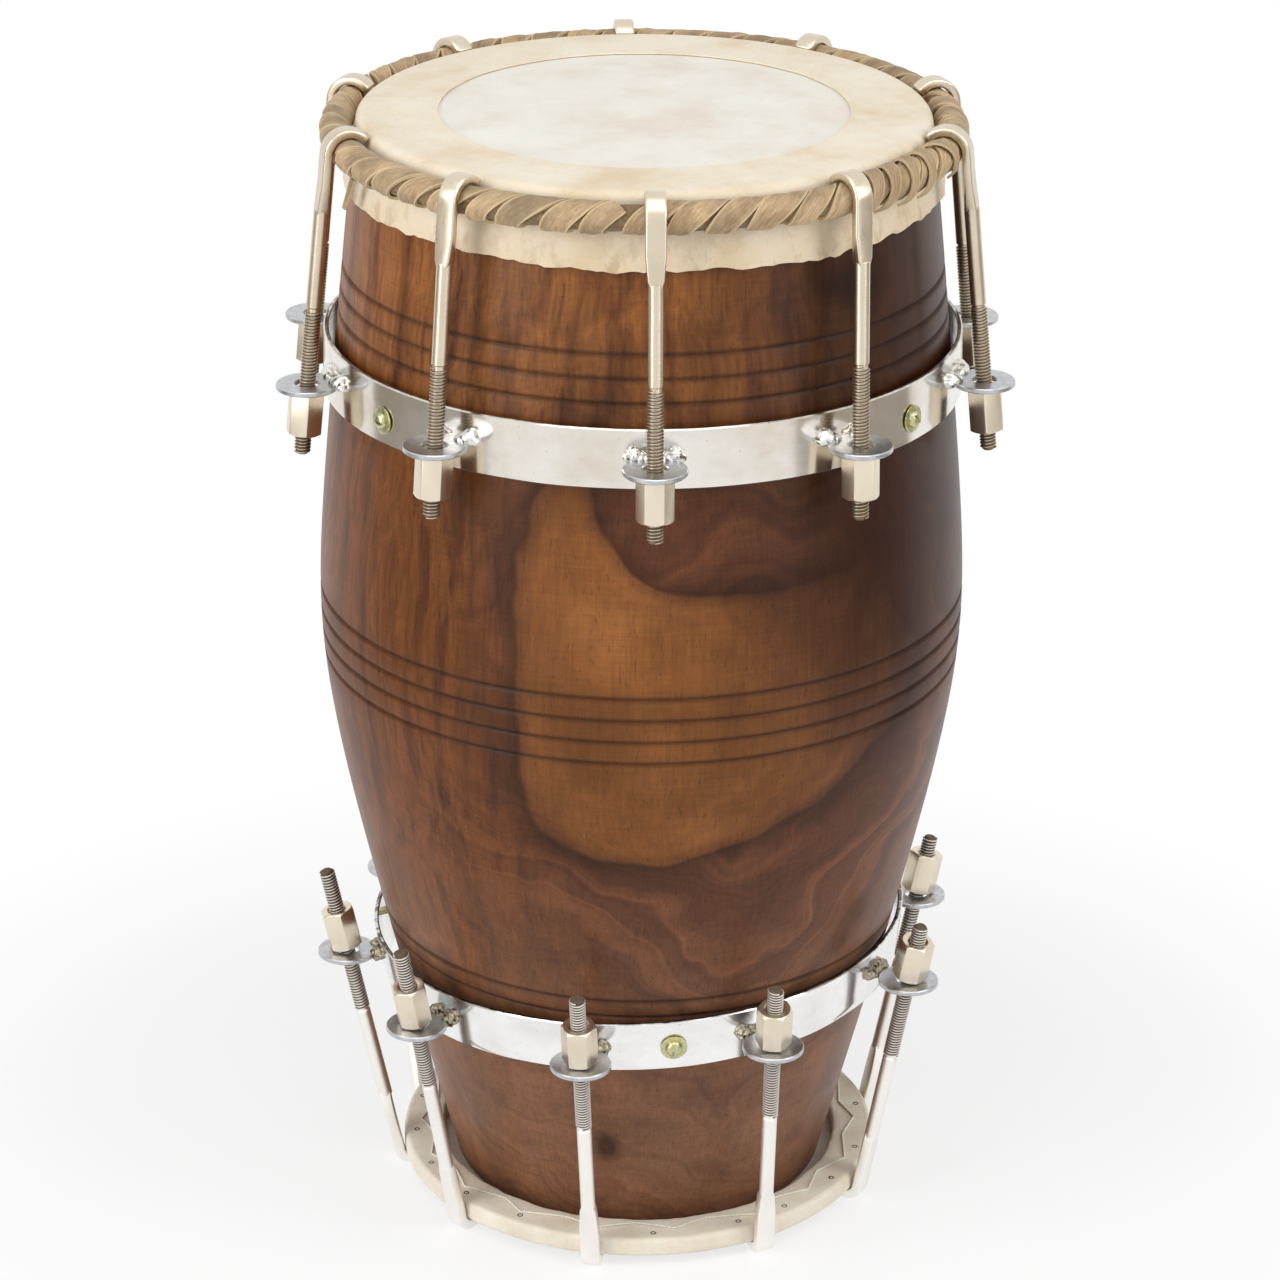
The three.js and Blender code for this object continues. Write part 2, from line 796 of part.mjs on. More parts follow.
function roundSection(radius) {
  const flat = radius * Math.cos(Math.PI / smallFacets);
  const cut = flat - radius * Math.sin(Math.PI / smallFacets);
  return { halfWidth: flat, halfThickness: flat, cut };
}

function flatSection(width, thickness) {
  return { halfWidth: width / 2, halfThickness: thickness / 2, cut: clawCornerCut };
}

// Walks a plane path in the drum's radius and height and leaves a ring of corners at each mark.
class Walk {
  constructor(radius, z, heading) {
    this.place = new THREE.Vector2(radius, z);
    this.heading = heading;
    this.rings = [];
  }

  normal() {
    return new THREE.Vector2(-Math.sin(this.heading), Math.cos(this.heading));
  }

  mark({ halfWidth, halfThickness, cut }) {
    const corners = [
      [halfWidth, cut - halfThickness],
      [halfWidth, halfThickness - cut],
      [halfWidth - cut, halfThickness],
      [cut - halfWidth, halfThickness],
      [-halfWidth, halfThickness - cut],
      [-halfWidth, cut - halfThickness],
      [cut - halfWidth, -halfThickness],
      [halfWidth - cut, -halfThickness],
    ];
    const normal = this.normal();
    this.rings.push(corners.map(([aside, out]) => new THREE.Vector3(
      this.place.x + normal.x * out,
      aside,
      this.place.y + normal.y * out,
    )));
    return this;
  }

  go(length) {
    this.place.x += length * Math.cos(this.heading);
    this.place.y += length * Math.sin(this.heading);
    return this;
  }

  // Turns left for a positive angle, right for a negative one, about a centre at the bend radius.
  bend(radius, angle, steps, section) {
    const side = Math.sign(angle);
    for (let i = 0; i < steps; i += 1) {
      this.place.addScaledVector(this.normal(), side * radius);
      this.heading += angle / steps;
      this.place.addScaledVector(this.normal(), -side * radius);
      this.mark(section);
    }
    return this;
  }
}

// Marks a rod from its threaded end to the start of its claw's bend.
function walkRod(walk, rodLength, threadLength, flatLength, flat) {
  const plain = rodLength - threadLength - threadStep - clawTaper - flatLength;
  return walk
    .mark(roundSection(threadRadius - endChamfer))
    .go(endChamfer).mark(roundSection(threadRadius))
    .go(threadLength - endChamfer).mark(roundSection(threadRadius))
    .go(threadStep).mark(roundSection(shankRadius))
    .go(plain).mark(roundSection(shankRadius))
    .go(clawTaper).mark(flat)
    .go(flatLength).mark(flat);
}

function rodLength(rod, washerZ, show) {
  return Math.abs(washerZ - rod.z) / Math.cos(rod.lean) + nutSeat(rod) + nutLength + show;
}

function bassHook(drop) {
  const length = rodLength(bassRod, bassWasherZ, bassThreadShow) - drop;
  const thread = bassThreadShow + nutLength + nutSeat(bassRod) + bassThreadReach - drop;
  const heading = Math.PI / 2 - bassRod.lean;
  const start = new Walk(
    bassRod.radius - length * Math.cos(heading),
    bassRod.z - length * Math.sin(heading),
    heading,
  );
  const tip = THREE.MathUtils.degToRad(clawTipAngle);
  const sweep = Math.PI - tip + bassRod.lean;
  const step = sweep / clawBendSteps;
  const flat = flatSection(clawWidth, clawThickness);
  const walk = walkRod(start, length, thread, bassFlatLength, flat);
  walk.bend(clawBend, sweep - step, clawBendSteps - 1, flat);
  walk.bend(clawBend, step, 1, flatSection(clawWidth - clawTipNarrowing, clawThickness));
  return loft(walk.rings);
}

function trebleHook(drop) {
  const length = rodLength(trebleRod, trebleWasherZ, trebleThreadShow) - drop;
  const thread = trebleThreadShow + nutLength + nutSeat(trebleRod) + trebleThreadReach - drop;
  const heading = 3 * Math.PI / 2 - trebleRod.lean;
  const start = new Walk(
    trebleRod.radius - length * Math.cos(heading),
    trebleRod.z - length * Math.sin(heading),
    heading,
  );
  const flat = flatSection(clawWidth, footThickness);
  const walk = walkRod(start, length, thread, trebleFlatLength, flat);
  walk.bend(footBend, trebleRod.lean - Math.PI / 2, footBendSteps, flat);
  const reached = wrapRadius - walk.place.x;
  walk.go(footReach - reached).mark(flatSection(clawWidth - clawTipNarrowing, footThickness));
  return loft(walk.rings);
}

// Nuts: a hexagon with cut ends and a round bore, its first end at z = 0

function nutSolid() {
  const corner = nutAcrossFlats / Math.sqrt(3);
  const hexagon = turned([
    [0, 0],
    [corner - nutChamfer, 0],
    [corner, nutChamfer / 2],
    [corner, nutLength - nutChamfer / 2],
    [corner - nutChamfer, nutLength],
    [0, nutLength],
  ], nutSides);
  const boreLength = nutLength + 2 * cutOverrun;
  const bore = new THREE.CylinderGeometry(nutBoreRadius, nutBoreRadius, boreLength, smallFacets);
  bore.rotateX(Math.PI / 2).translate(0, 0, nutLength / 2);
  return fromManifold(toManifold(hexagon).subtract(toManifold(bore)));
}

// Shifts a hook sideways in step with its height: its rod leans and its claw stays level.
function leanSideways(geometry, washerZ, sideLean) {
  const lean = new THREE.Matrix4().makeShear(0, 0, 0, 0, 0, -Math.tan(sideLean));
  return geometry.translate(0, 0, -washerZ).applyMatrix4(lean).translate(0, 0, washerZ);
}

// Places the hooks and nuts of one head. A nut grows from its seat towards the rod's threaded end.
function tensioners(name, rod, places, hookSolid, towardsEnd) {
  const group = new THREE.Group();
  places.forEach(({ azimuth, sideLean, washerZ, drop }, i) => {
    const frame = new THREE.Group();
    frame.applyMatrix4(spoke(azimuth));
    const label = twoDigits(i + 1);
    const hook = leanSideways(hookSolid(drop), washerZ, sideLean);
    frame.add(piece(`${name}_hook_${label}`, hook, hookNickel));
    const end = new THREE.Vector3(Math.tan(rod.lean), -Math.tan(sideLean), 1).multiplyScalar(towardsEnd);
    end.normalize();
    const nut = piece(`${name}_nut_${label}`, nutSolid(), nutNickel);
    nut.position.set(rodRadiusAt(rod, washerZ), 0, washerZ).addScaledVector(end, nutSeat(rod, sideLean));
    nut.quaternion.setFromUnitVectors(new THREE.Vector3(0, 0, 1), end);
    nut.rotateZ(THREE.MathUtils.degToRad(nutStartTurn + i * nutTurnStep));
    frame.add(nut);
    group.add(frame);
  });
  return group;
}

// Assembly

const dholak = new THREE.Group();

dholak.add(piece('shell', shellSolid(), lacqueredWood));

dholak.add(piece('bass_band', bandSolid(bassBand, bassRod, bassPlaces), bandSteel));
dholak.add(piece('treble_band', bandSolid(trebleBand, trebleRod, treblePlaces), bandSteel));
dholak.add(...screws('bass_screw', bassBand));
dholak.add(...screws('treble_screw', trebleBand));

dholak.add(piece('bass_skin', bassSkin(), paleSkin));
dholak.add(piece('bass_overskin', bassOverskin(), creamSkin));
dholak.add(piece('bass_ring', bassRing(), ringCane));
const thong = thongRings();
dholak.add(piece('bass_lashing', loft(thong, false, true), thongLeather));
console.log(`least gap of the lashing to itself: ${leastLashGap(thong).toFixed(2)} mm`);

dholak.add(piece('treble_skin', trebleSkin(), hoopSkin));
dholak.add(piece('treble_hoop', trebleHoop(), hoopIron));
dholak.add(piece('treble_lacing', trebleLacing(), laceThread));

dholak.add(tensioners('bass', bassRod, bassPlaces, bassHook, -1));
dholak.add(tensioners('treble', trebleRod, treblePlaces, trebleHook, 1));

export default dholak;
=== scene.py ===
import random
from math import atan, atan2, cos, degrees, hypot, pi, radians, sin, sqrt, tan

import bmesh
import bpy
from mathutils import Matrix, Vector, noise


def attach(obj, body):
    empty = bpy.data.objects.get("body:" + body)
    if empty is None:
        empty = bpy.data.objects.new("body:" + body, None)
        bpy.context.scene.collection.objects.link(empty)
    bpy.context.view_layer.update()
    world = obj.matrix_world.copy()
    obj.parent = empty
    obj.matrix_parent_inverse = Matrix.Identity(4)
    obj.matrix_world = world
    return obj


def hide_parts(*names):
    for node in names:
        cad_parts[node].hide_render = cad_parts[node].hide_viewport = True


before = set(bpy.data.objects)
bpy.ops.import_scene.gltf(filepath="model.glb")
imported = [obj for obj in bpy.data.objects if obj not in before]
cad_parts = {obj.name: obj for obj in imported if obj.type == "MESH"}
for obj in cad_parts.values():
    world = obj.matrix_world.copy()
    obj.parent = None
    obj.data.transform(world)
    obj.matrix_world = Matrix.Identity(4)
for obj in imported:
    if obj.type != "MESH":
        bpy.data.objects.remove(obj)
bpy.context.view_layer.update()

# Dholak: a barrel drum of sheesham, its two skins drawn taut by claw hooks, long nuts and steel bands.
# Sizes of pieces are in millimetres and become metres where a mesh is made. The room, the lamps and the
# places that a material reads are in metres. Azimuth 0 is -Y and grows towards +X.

MM = 0.001
CHANCE = random.Random(7)

# Sizes shared with the solid model.

SHELL_FOOT = 5.7
SHELL_HEIGHT = 440.8
SHELL_TOP = SHELL_FOOT + SHELL_HEIGHT
BELLY_HEIGHT = 248.8
BELLY_RADIUS = 126.4
BASS_RIM_RADIUS = 109.2
TREBLE_RIM_RADIUS = 75.1
UPPER_EASE = 4
LOWER_EASE = 17.5
TURNED_LINES = [384.1, 375.05, 366.0, 253.9, 245.1, 236.3, 227.5, 117.0, 109.5]
BEARING_LENGTH = 18
BEARING_DEPTH = 2.2
RIM_ROUND = 2

RING_RADIUS = 116.595
RING_HEIGHT = 441.5
LASH_RADIUS = 5.7
LASH_TURNS = 50
THONG_THICKNESS = 1.2

BAND_THICKNESS = 2
WASHER_RADIUS = 11.9
WASHER_HOLE = 4.75
WASHER_THICKNESS = 2

THREAD_RADIUS = 3.175
THREAD_PITCH = 1.27
SHANK_RADIUS = 2.9
CLAW_WIDTH = 7.7
CLAW_THICKNESS = 3.2
FOOT_THICKNESS = 4.2
NUT_ACROSS_FLATS = 12.3
NUT_LENGTH = 17
NUT_END_CUT = 0.9
NUT_CLEARANCE = 0.3

# A band and its hooks. Gaps are between wood and strip, a rod shows beyond its nut, its thread reaches past
# the washer, and end is the way from washer to nut. Lean is in radians, tilt and side leans in degrees.
UPPER = {
    "side": "bass", "foot": 341.4, "height": 23, "foot_gap": 1.3, "top_gap": 3, "tilt": 0,
    "lean": -0.1052, "bend_radius": 124.80, "bend_height": 442.37, "washer_radius": 134.25,
    "azimuths": [2, 36.2, 74, 107, 145, 184.2, 220.5, 254, 290, 326],
    "side_leans": [0, -3.5, 0, 0, 0, 0, 0, 0, 0, 0],
    "drops": [0] * 10,
    "show": 8, "reach": 30.5, "end": -1,
    "screws": [-51, 54, 165], "screw_lowering": 2,
}
LOWER = {
    "side": "treble", "foot": 92.9, "height": 22, "foot_gap": 5.2, "top_gap": 3.4, "tilt": 2.6,
    "lean": 0.20815, "bend_radius": 99.825, "bend_height": 5.67, "washer_radius": 120.57,
    "azimuths": [-10.6, 25.4, 61.4, 106, 140, 173, 206, 239.5, 277.4, 313.4],
    "side_leans": [0, 4.9, 3.8, 0, 0, 0, 0, 8, 0, 0],
    "drops": [0, 0, 0, 8, 0, 0, 0, 0, 0, 0],
    "show": 12.4, "reach": 33, "end": 1,
    "screws": [7.4, 121, 258.5], "screw_lowering": 0.5,
}


def shell_radius(height):
    """Outer radius of the wood at a height above its foot: two flares that ease into one belly."""
    upper = height > BELLY_HEIGHT
    ease = UPPER_EASE if upper else LOWER_EASE
    run = SHELL_HEIGHT - BELLY_HEIGHT if upper else BELLY_HEIGHT
    fall = BELLY_RADIUS - (BASS_RIM_RADIUS if upper else TREBLE_RIM_RADIUS) + ease
    slope = sqrt(fall * fall - ease * ease) / run
    return BELLY_RADIUS + ease - hypot(ease, slope * (height - BELLY_HEIGHT))


def bearing_radius(height):
    """The same with the tapered edge that the bass skins are drawn over."""
    share = (height - SHELL_HEIGHT + BEARING_LENGTH) / (BEARING_LENGTH - RIM_ROUND)
    return shell_radius(height) - BEARING_DEPTH * min(max(share, 0), 1)


def band_middle(band):
    return band["foot"] + band["height"] / 2


def band_radius(band, height):
    """Inner radius of a band at a height above the ground."""
    foot = shell_radius(band["foot"] - SHELL_FOOT) + band["foot_gap"]
    top = shell_radius(band["foot"] + band["height"] - SHELL_FOOT) + band["top_gap"]
    return foot + (top - foot) * (height - band["foot"]) / band["height"]


def rod_radius(band, height):
    return band["bend_radius"] + (height - band["bend_height"]) * tan(band["lean"])


def spoke(azimuth):
    """Turns +X to point away from the drum's axis at an azimuth."""
    return Matrix.Rotation(radians(azimuth) - pi / 2, 4, "Z")


def shift(x, y, z):
    return Matrix.Translation((x * MM, y * MM, z * MM))


def band_tilt(band):
    middle = band_middle(band)
    turn = Matrix.Rotation(-radians(band["tilt"]), 4, "Y")
    return shift(0, 0, middle) @ turn @ shift(0, 0, -middle)


def round_axis(radius, azimuth, height):
    """A place at a radius and an azimuth in radians."""
    return radius * sin(azimuth), -radius * cos(azimuth), height


def hook_places(band):
    """Azimuth, sideways lean, washer height and drop of each hook on a band."""
    places = []
    for azimuth, lean, drop in zip(band["azimuths"], band["side_leans"], band["drops"]):
        middle = band_middle(band)
        out = rod_radius(band, middle) * sin(radians(azimuth))
        height = middle + out * tan(radians(band["tilt"])) - drop
        places.append((azimuth, radians(lean), height, drop))
    return places


def nut_seat(band, side_lean=0):
    """Distance along a rod from its washer's middle to the near end of its nut."""
    lean = atan(hypot(tan(band["lean"]), tan(side_lean)))
    end_radius = NUT_ACROSS_FLATS / sqrt(3) - NUT_END_CUT
    return (WASHER_THICKNESS / 2 + NUT_CLEARANCE + end_radius * sin(lean)) / cos(lean)


# Working at the bench.

def let_go():
    """Leaves edit mode and selects nothing."""
    if bpy.context.mode != "OBJECT":
        bpy.ops.object.mode_set(mode="OBJECT")
    bpy.ops.object.select_all(action="DESELECT")


def take(*objects):
    let_go()
    for obj in objects:
        obj.select_set(True)
    bpy.context.view_layer.objects.active = objects[0]


def edit(obj):
    take(obj)
    bpy.ops.object.mode_set(mode="EDIT")
    bpy.ops.mesh.select_mode(type="VERT")
    bpy.ops.mesh.select_all(action="SELECT")


def apply(obj, kind, name, **settings):
    """Adds a modifier with its settings and applies it."""
    take(obj)
    modifier = obj.modifiers.new(name, kind)
    for key, value in settings.items():
        setattr(modifier, key, value)
    bpy.ops.object.modifier_apply(modifier=modifier.name)


def clean(obj, threshold=0.001):
    """Merges doubled points and turns all faces outwards."""
    edit(obj)
    bpy.ops.mesh.remove_doubles(threshold=threshold * MM)
    bpy.ops.mesh.normals_make_consistent(inside=False)
    let_go()


def smooth(obj, angle):
    take(obj)
    bpy.ops.object.shade_smooth_by_angle(angle=radians(angle))
    let_go()


def choose_top(obj):
    """Selects the faces that look up in the mesh being edited."""
    bpy.ops.mesh.select_mode(type="FACE")
    bpy.ops.mesh.select_all(action="DESELECT")
    mesh = bmesh.from_edit_mesh(obj.data)
    for face in mesh.faces:
        if face.normal.z > 0.9:
            face.select_set(True)
    bmesh.update_edit_mesh(obj.data)


def primitive(kind, name, **settings):
    """A mesh primitive of a kind, with its place, turn and scale applied."""
    let_go()
    getattr(bpy.ops.mesh, f"primitive_{kind}_add")(**settings)
    obj = bpy.context.object
    obj.name = name
    bpy.ops.object.transform_apply(location=True, rotation=True, scale=True)
    return obj


def drawn(name, points):
    """Extrudes one point along a line of points in millimetres, and stays in edit mode."""
    spots = [Vector(point) * MM for point in points]
    obj = primitive("plane", name, size=MM, location=spots[0])
    edit(obj)
    bpy.ops.mesh.merge(type="CENTER")
    for before, after in zip(spots, spots[1:]):
        bpy.ops.mesh.extrude_vertices_move(TRANSFORM_OT_translate={"value": after - before})
    return obj


def turned(name, outline, steps):
    """Spins an outline of [radius, height] about the upright axis."""
    obj = drawn(name, [(radius, 0, height) for radius, height in outline])
    bpy.ops.mesh.select_all(action="SELECT")
    bpy.ops.mesh.spin(steps=steps, angle=2 * pi, center=(0, 0, 0), axis=(0, 0, 1))
    clean(obj)
    return obj


def grow(height, scale_x=1, scale_y=1):
    """Extrudes the selected end upwards and scales it about the upright axis."""
    bpy.ops.mesh.extrude_region_move(TRANSFORM_OT_translate={"value": (0, 0, height * MM)})
    if scale_x != 1 or scale_y != 1:
        bpy.ops.transform.resize(value=(scale_x, scale_y, 1), center_override=(0, 0, 0))


def put(source, name, matrix):
    """A copy of a finished model with its own mesh, moved to its place."""
    obj = source.copy()
    obj.data = source.data.copy()
    obj.name = name
    obj.data.name = name
    bpy.context.scene.collection.objects.link(obj)
    obj.data.transform(matrix)
    return obj


def joined(name, objects):
    take(*objects)
    bpy.ops.object.join()
    obj = bpy.context.object
    obj.name = name
    let_go()
    return obj


def discard(*objects):
    for obj in objects:
        bpy.data.objects.remove(obj)


def carve(obj, other, operation="DIFFERENCE"):
    """Cuts another solid out of a piece, or keeps only what lies inside it, and throws the other away."""
    apply(obj, "BOOLEAN", "carve", operation=operation, solver="EXACT", object=other)
    discard(other)


def reshape(obj, move):
    """Moves every point of a mesh by a rule that takes and gives its place in millimetres."""
    for point in obj.data.vertices:
        point.co = Vector(move(point.co / MM)) * MM


def painted(obj, name, rule):
    """Writes a number on every point of a mesh by a rule that takes its place in millimetres."""
    layer = obj.data.attributes.new(name, "FLOAT", "POINT")
    for point, mark in zip(obj.data.vertices, layer.data):
        mark.value = rule(point.co / MM)


def finished(obj, material, body, slot, *nodes):
    """Gives a piece its material and its body, and hides the solids that it stands for; its slot is not used.
    """
    if material is not None:
        obj.data.materials.clear()
        obj.data.materials.append(material)
    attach(obj, body)
    if nodes:
        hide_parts(*nodes)


def hung(model, matrix, band, index, metal, slot, words):
    """A copy of a model in its place on a band, its piece, body and solid named by three words."""
    piece, body, node = [f"{band['side']}_{word}_{index + 1:02d}" for word in words]
    finished(put(model, piece, matrix), metal, body, slot, node)


def ripple(x, y, z, size):
    """Smooth chance between -1 and 1 that changes over a size in millimetres."""
    return noise.noise(Vector((x, y, z)) / size)


def round_corner(centre, radius, start, end, count):
    """Points of an arc, its angles in degrees from +radius towards +height."""
    points = []
    for i in range(count + 1):
        turn = radians(start + (end - start) * i / count)
        points.append((centre[0] + radius * cos(turn), centre[1] + radius * sin(turn)))
    return points


# Materials.

def tint(code):
    """sRGB hex to linear colour."""
    shares = [int(code[i:i + 2], 16) / 255 for i in (1, 3, 5)]
    return [c / 12.92 if c <= 0.04045 else ((c + 0.055) / 1.055) ** 2.4 for c in shares] + [1]


def add(tree, kind, inputs=None, stops=None, **settings):
    """Adds a node with its settings, its ramp colours and what goes into its sockets."""
    made = tree.nodes.new("ShaderNode" + kind)
    for key, value in settings.items():
        setattr(made, key, value)
    if stops:
        elements = made.color_ramp.elements
        while len(elements) < len(stops):
            elements.new(1)
        for element, (place, color) in zip(elements, stops):
            element.position = place
            element.color = tint(color) if isinstance(color, str) else (color, color, color, 1)
    for key, value in (inputs or {}).items():
        if isinstance(value, bpy.types.NodeSocket):
            tree.links.new(value, made.inputs[key])
        else:
            made.inputs[key].default_value = value
    return made


def material(name, **numbers):
    """A material with one shader, its constants set on the shader's own sockets."""
    made = bpy.data.materials.new(name)
    made.use_nodes = True
    shader = made.node_tree.nodes["Principled BSDF"]
    for key, value in numbers.items():
        socket = shader.inputs[key.replace("_", " ")]
        socket.default_value = tint(value) if isinstance(value, str) else value
    place = add(made.node_tree, "TexCoord").outputs["Object"]
    return made, made.node_tree, shader, place


def speckle(tree, place, stretch, scale, detail, rough, turn=0.0):
    """Chance pattern over a place that is stretched, and turned where given, before it is read."""
    spread = add(tree, "Mapping", {"Vector": place, "Scale": stretch, "Rotation": (0, 0, turn)})
    return add(tree, "TexNoise", {
        "Vector": spread.outputs[0], "Scale": scale, "Detail": detail, "Roughness": rough,
    }).outputs["Fac"]


def grain(tree, place, across, along=None, detail=3, rough=0.5):
    """Chance pattern whose marks are across millimetres wide and along millimetres tall."""
    along = along or across
    stretch = (1 / (across * MM), 1 / (across * MM), 1 / (along * MM))
    return speckle(tree, place, stretch, 1, detail, rough)


def ramp(tree, value, *stops):
    return add(tree, "ValToRGB", {"Fac": value}, stops=stops).outputs["Color"]


def blend(tree, share, one, other, kind="MIX"):
    return add(tree, "Mix", {0: share, 6: one, 7: other}, data_type="RGBA", blend_type=kind).outputs[2]


def figure(tree, kind, *values):
    return add(tree, "Math", dict(enumerate(values)), operation=kind).outputs[0]


def tinge(tree, share, strength, color, code):
    """Lays a plain colour over another where a share from 0 to 1 says, at most at a strength."""
    return blend(tree, figure(tree, "MULTIPLY", share, strength), color, tint(code))


def between(tree, value, low, high, at_low=0.0, at_high=1.0, **settings):
    """Carries a value from one range to another and stops at its ends."""
    return add(tree, "MapRange", {
        "Value": value, "From Min": low, "From Max": high, "To Min": at_low, "To Max": at_high,
    }, **settings).outputs[0]


def vector(tree, kind, *values, out="Vector"):
    return add(tree, "VectorMath", dict(enumerate(values)), operation=kind).outputs[out]


def dress(tree, shader, color, rough=None):
    """Links a colour, and where given a roughness, into the shader."""
    tree.links.new(color, shader.inputs["Base Color"])
    if rough is not None:
        tree.links.new(rough, shader.inputs["Roughness"])


def bumped(tree, shader, height, depth, strength):
    """A height pattern from 0 to 1 that stands depth millimetres proud."""
    bump = add(tree, "Bump", {"Height": height, "Distance": depth * MM, "Strength": strength})
    tree.links.new(bump.outputs[0], shader.inputs["Normal"])


# Sheesham, turned on a lathe and lacquered: a dark red-brown wood. Where the belly cuts deepest into the
# rings a golden flame opens with a dark line round it, long red streaks run up the drum beside it, and fine
# arched lines cross its foot. The clear lacquer mirrors the floor and the rods faintly.
def make_sheesham():
    made, tree, shader, place = material(
        "sheesham_turned_and_lacquered", Roughness=0.3, IOR=1.45, Specular_IOR_Level=0.16,
        Coat_Weight=0.1, Coat_Roughness=0.2)
    slow = add(tree, "TexNoise", {"Vector": place, "Scale": 11.0, "Detail": 3, "Roughness": 0.5})
    wander = vector(tree, "SUBTRACT", slow.outputs["Color"], (0.5, 0.5, 0.5))
    wander = vector(tree, "MULTIPLY", wander, (0.07, 0.05, 0.05))
    moved = vector(tree, "ADD", place, wander)

    def oval(centre, low, high, wide, deep):
        """Distance from a placed oval's centre, 1 at its edge, with its own reach below and above."""
        apart = vector(tree, "SUBTRACT", moved, [c * MM for c in centre])
        parts = add(tree, "SeparateXYZ", {0: apart})
        up = figure(tree, "DIVIDE", parts.outputs["Z"], high * MM)
        down = figure(tree, "DIVIDE", parts.outputs["Z"], -low * MM)
        shape = add(tree, "CombineXYZ", {
            0: figure(tree, "DIVIDE", parts.outputs["X"], wide * MM),
            1: figure(tree, "DIVIDE", parts.outputs["Y"], deep * MM),
            2: figure(tree, "MAXIMUM", up, down)})
        return vector(tree, "LENGTH", shape.outputs[0], out="Value")

    # the flame: inside one oval on the front of the belly, outside a second one above and to its right
    flame = figure(tree, "SUBTRACT", 1.0, oval((22, -128, 262), 66, 116, 78, 190))
    eye = figure(tree, "SUBTRACT", oval((52, -112, 347), 54, 80, 66, 90), 1.0)
    inside = figure(tree, "SMOOTH_MIN", flame, eye, 0.05)
    # the log's rings, as distance from a pith behind the drum's axis
    flat = vector(tree, "MULTIPLY", vector(tree, "ADD", moved, (0.006, -0.038, 0)), (1, 1, 0))
    reach = figure(tree, "MULTIPLY_ADD", inside, 0.006, vector(tree, "LENGTH", flat, out="Value"))
    rings, broad = [
        add(tree, "TexNoise", {"W": reach, "Scale": scale, "Detail": detail, "Roughness": rough},
            noise_dimensions="1D").outputs["Fac"]
        for scale, detail, rough in ((420.0, 5, 0.62), (95.0, 2, 0.5))]
    wood = ramp(tree, broad, (0.34, "#5a3523"), (0.46, "#6c422c"), (0.55, "#74482f"), (0.68, "#5e3825"))
    # red streaks and long darker ones up the left side, warmer ones on the shoulder
    parts = add(tree, "SeparateXYZ", {0: place})
    side = between(tree, parts.outputs["X"], -0.01, -0.07)
    shoulder = between(tree, parts.outputs["Z"], 0.335, 0.375)
    leaning = vector(tree, "ADD", place, vector(tree, "MULTIPLY", wander, (0.35, 0.35, 0.35)))
    streaks = grain(tree, leaning, 10, 230, detail=5, rough=0.62)
    red = ramp(tree, streaks, (0.34, "#46260f"), (0.45, "#653a1a"), (0.56, "#794720"), (0.68, "#552f13"))
    wood = blend(tree, figure(tree, "MULTIPLY", side, 0.85), wood, red)
    warm = ramp(tree, streaks, (0.34, "#522f19"), (0.46, "#7e4e2c"), (0.57, "#9a6437"), (0.7, "#6a4123"))
    wood = blend(tree, figure(tree, "MULTIPLY", shoulder, 0.85), wood, warm)
    # the flame itself, and the dark line that falls off away from it
    clouds = grain(tree, place, 60, 90)
    gold = ramp(tree, clouds, (0.35, "#7a4b25"), (0.5, "#8b582d"), (0.66, "#976237"))
    glow = ramp(tree, inside, (0.0, 0.0), (0.03, 0.6), (0.12, 1.0))
    turn_away = between(tree, parts.outputs["X"], 0.02, 0.1, 1.0, 0.15)
    wood = blend(tree, figure(tree, "MULTIPLY", glow, turn_away), wood, gold)
    line = figure(tree, "POWER", between(tree, inside, -0.28, 0.01), 1.8)
    line = figure(tree, "MULTIPLY", line, figure(tree, "SUBTRACT", 1.0, glow))
    wood = tinge(tree, line, 0.72, wood, "#2a150b")
    # painted shade darkens the upper right side, a painted reflection of the white floor makes the foot
    # paler, and two small knots are dark
    painted_shade = between(tree, parts.outputs["X"], 0.01, 0.08)
    painted_shade = figure(tree, "MULTIPLY", painted_shade, between(tree, parts.outputs["Z"], 0.2, 0.3))
    wood = tinge(tree, painted_shade, 0.88, wood, "#321607")
    wood = blend(tree, 1.0, wood, tint("#f3eee4"), "MULTIPLY")
    # painted reflection: the wood turns paler towards its foot, as where the lacquer mirrors the white floor
    low = between(tree, parts.outputs["Z"], 0.19, 0.08, 0.0, 0.34)
    wood = blend(tree, low, wood, tint("#9a745a"))
    clouds = ramp(tree, grain(tree, moved, 34, 24), (0.36, 1.0), (0.58, 0.0))
    cloudy = figure(tree, "MULTIPLY_ADD", side, -0.2, 0.28)
    wood = tinge(tree, clouds, cloudy, wood, "#2b150c")
    for centre, size in (((73, -87, 404), 9), ((-17, -86, 44), 6)):
        knot = between(tree, oval(centre, size, size, size * 1.3, 30), 1.5, 0.5)
        wood = tinge(tree, knot, 0.75, wood, "#1f0f08")
    # fine arched lines, fibres up the log, and faint level marks left by sanding on the lathe
    wood = blend(tree, figure(tree, "MULTIPLY_ADD", glow, -0.26, 0.44), wood,
                 ramp(tree, rings, (0.3, 0.33), (0.7, 0.66)), "OVERLAY")
    fibres = grain(tree, place, 1.5, 34, detail=4, rough=0.7)
    wood = blend(tree, 0.32, wood, ramp(tree, fibres, (0.3, 0.25), (0.7, 0.75)), "OVERLAY")
    sanding = grain(tree, place, 16, 0.8, rough=0.6)
    wood = blend(tree, 0.22, wood, ramp(tree, sanding, (0.3, 0.3), (0.7, 0.7)), "OVERLAY")
    pores = ramp(tree, grain(tree, place, 0.8, 4, detail=2), (0.3, 1.0), (0.38, 0.0))
    wood = tinge(tree, pores, 0.35, wood, "#241209")
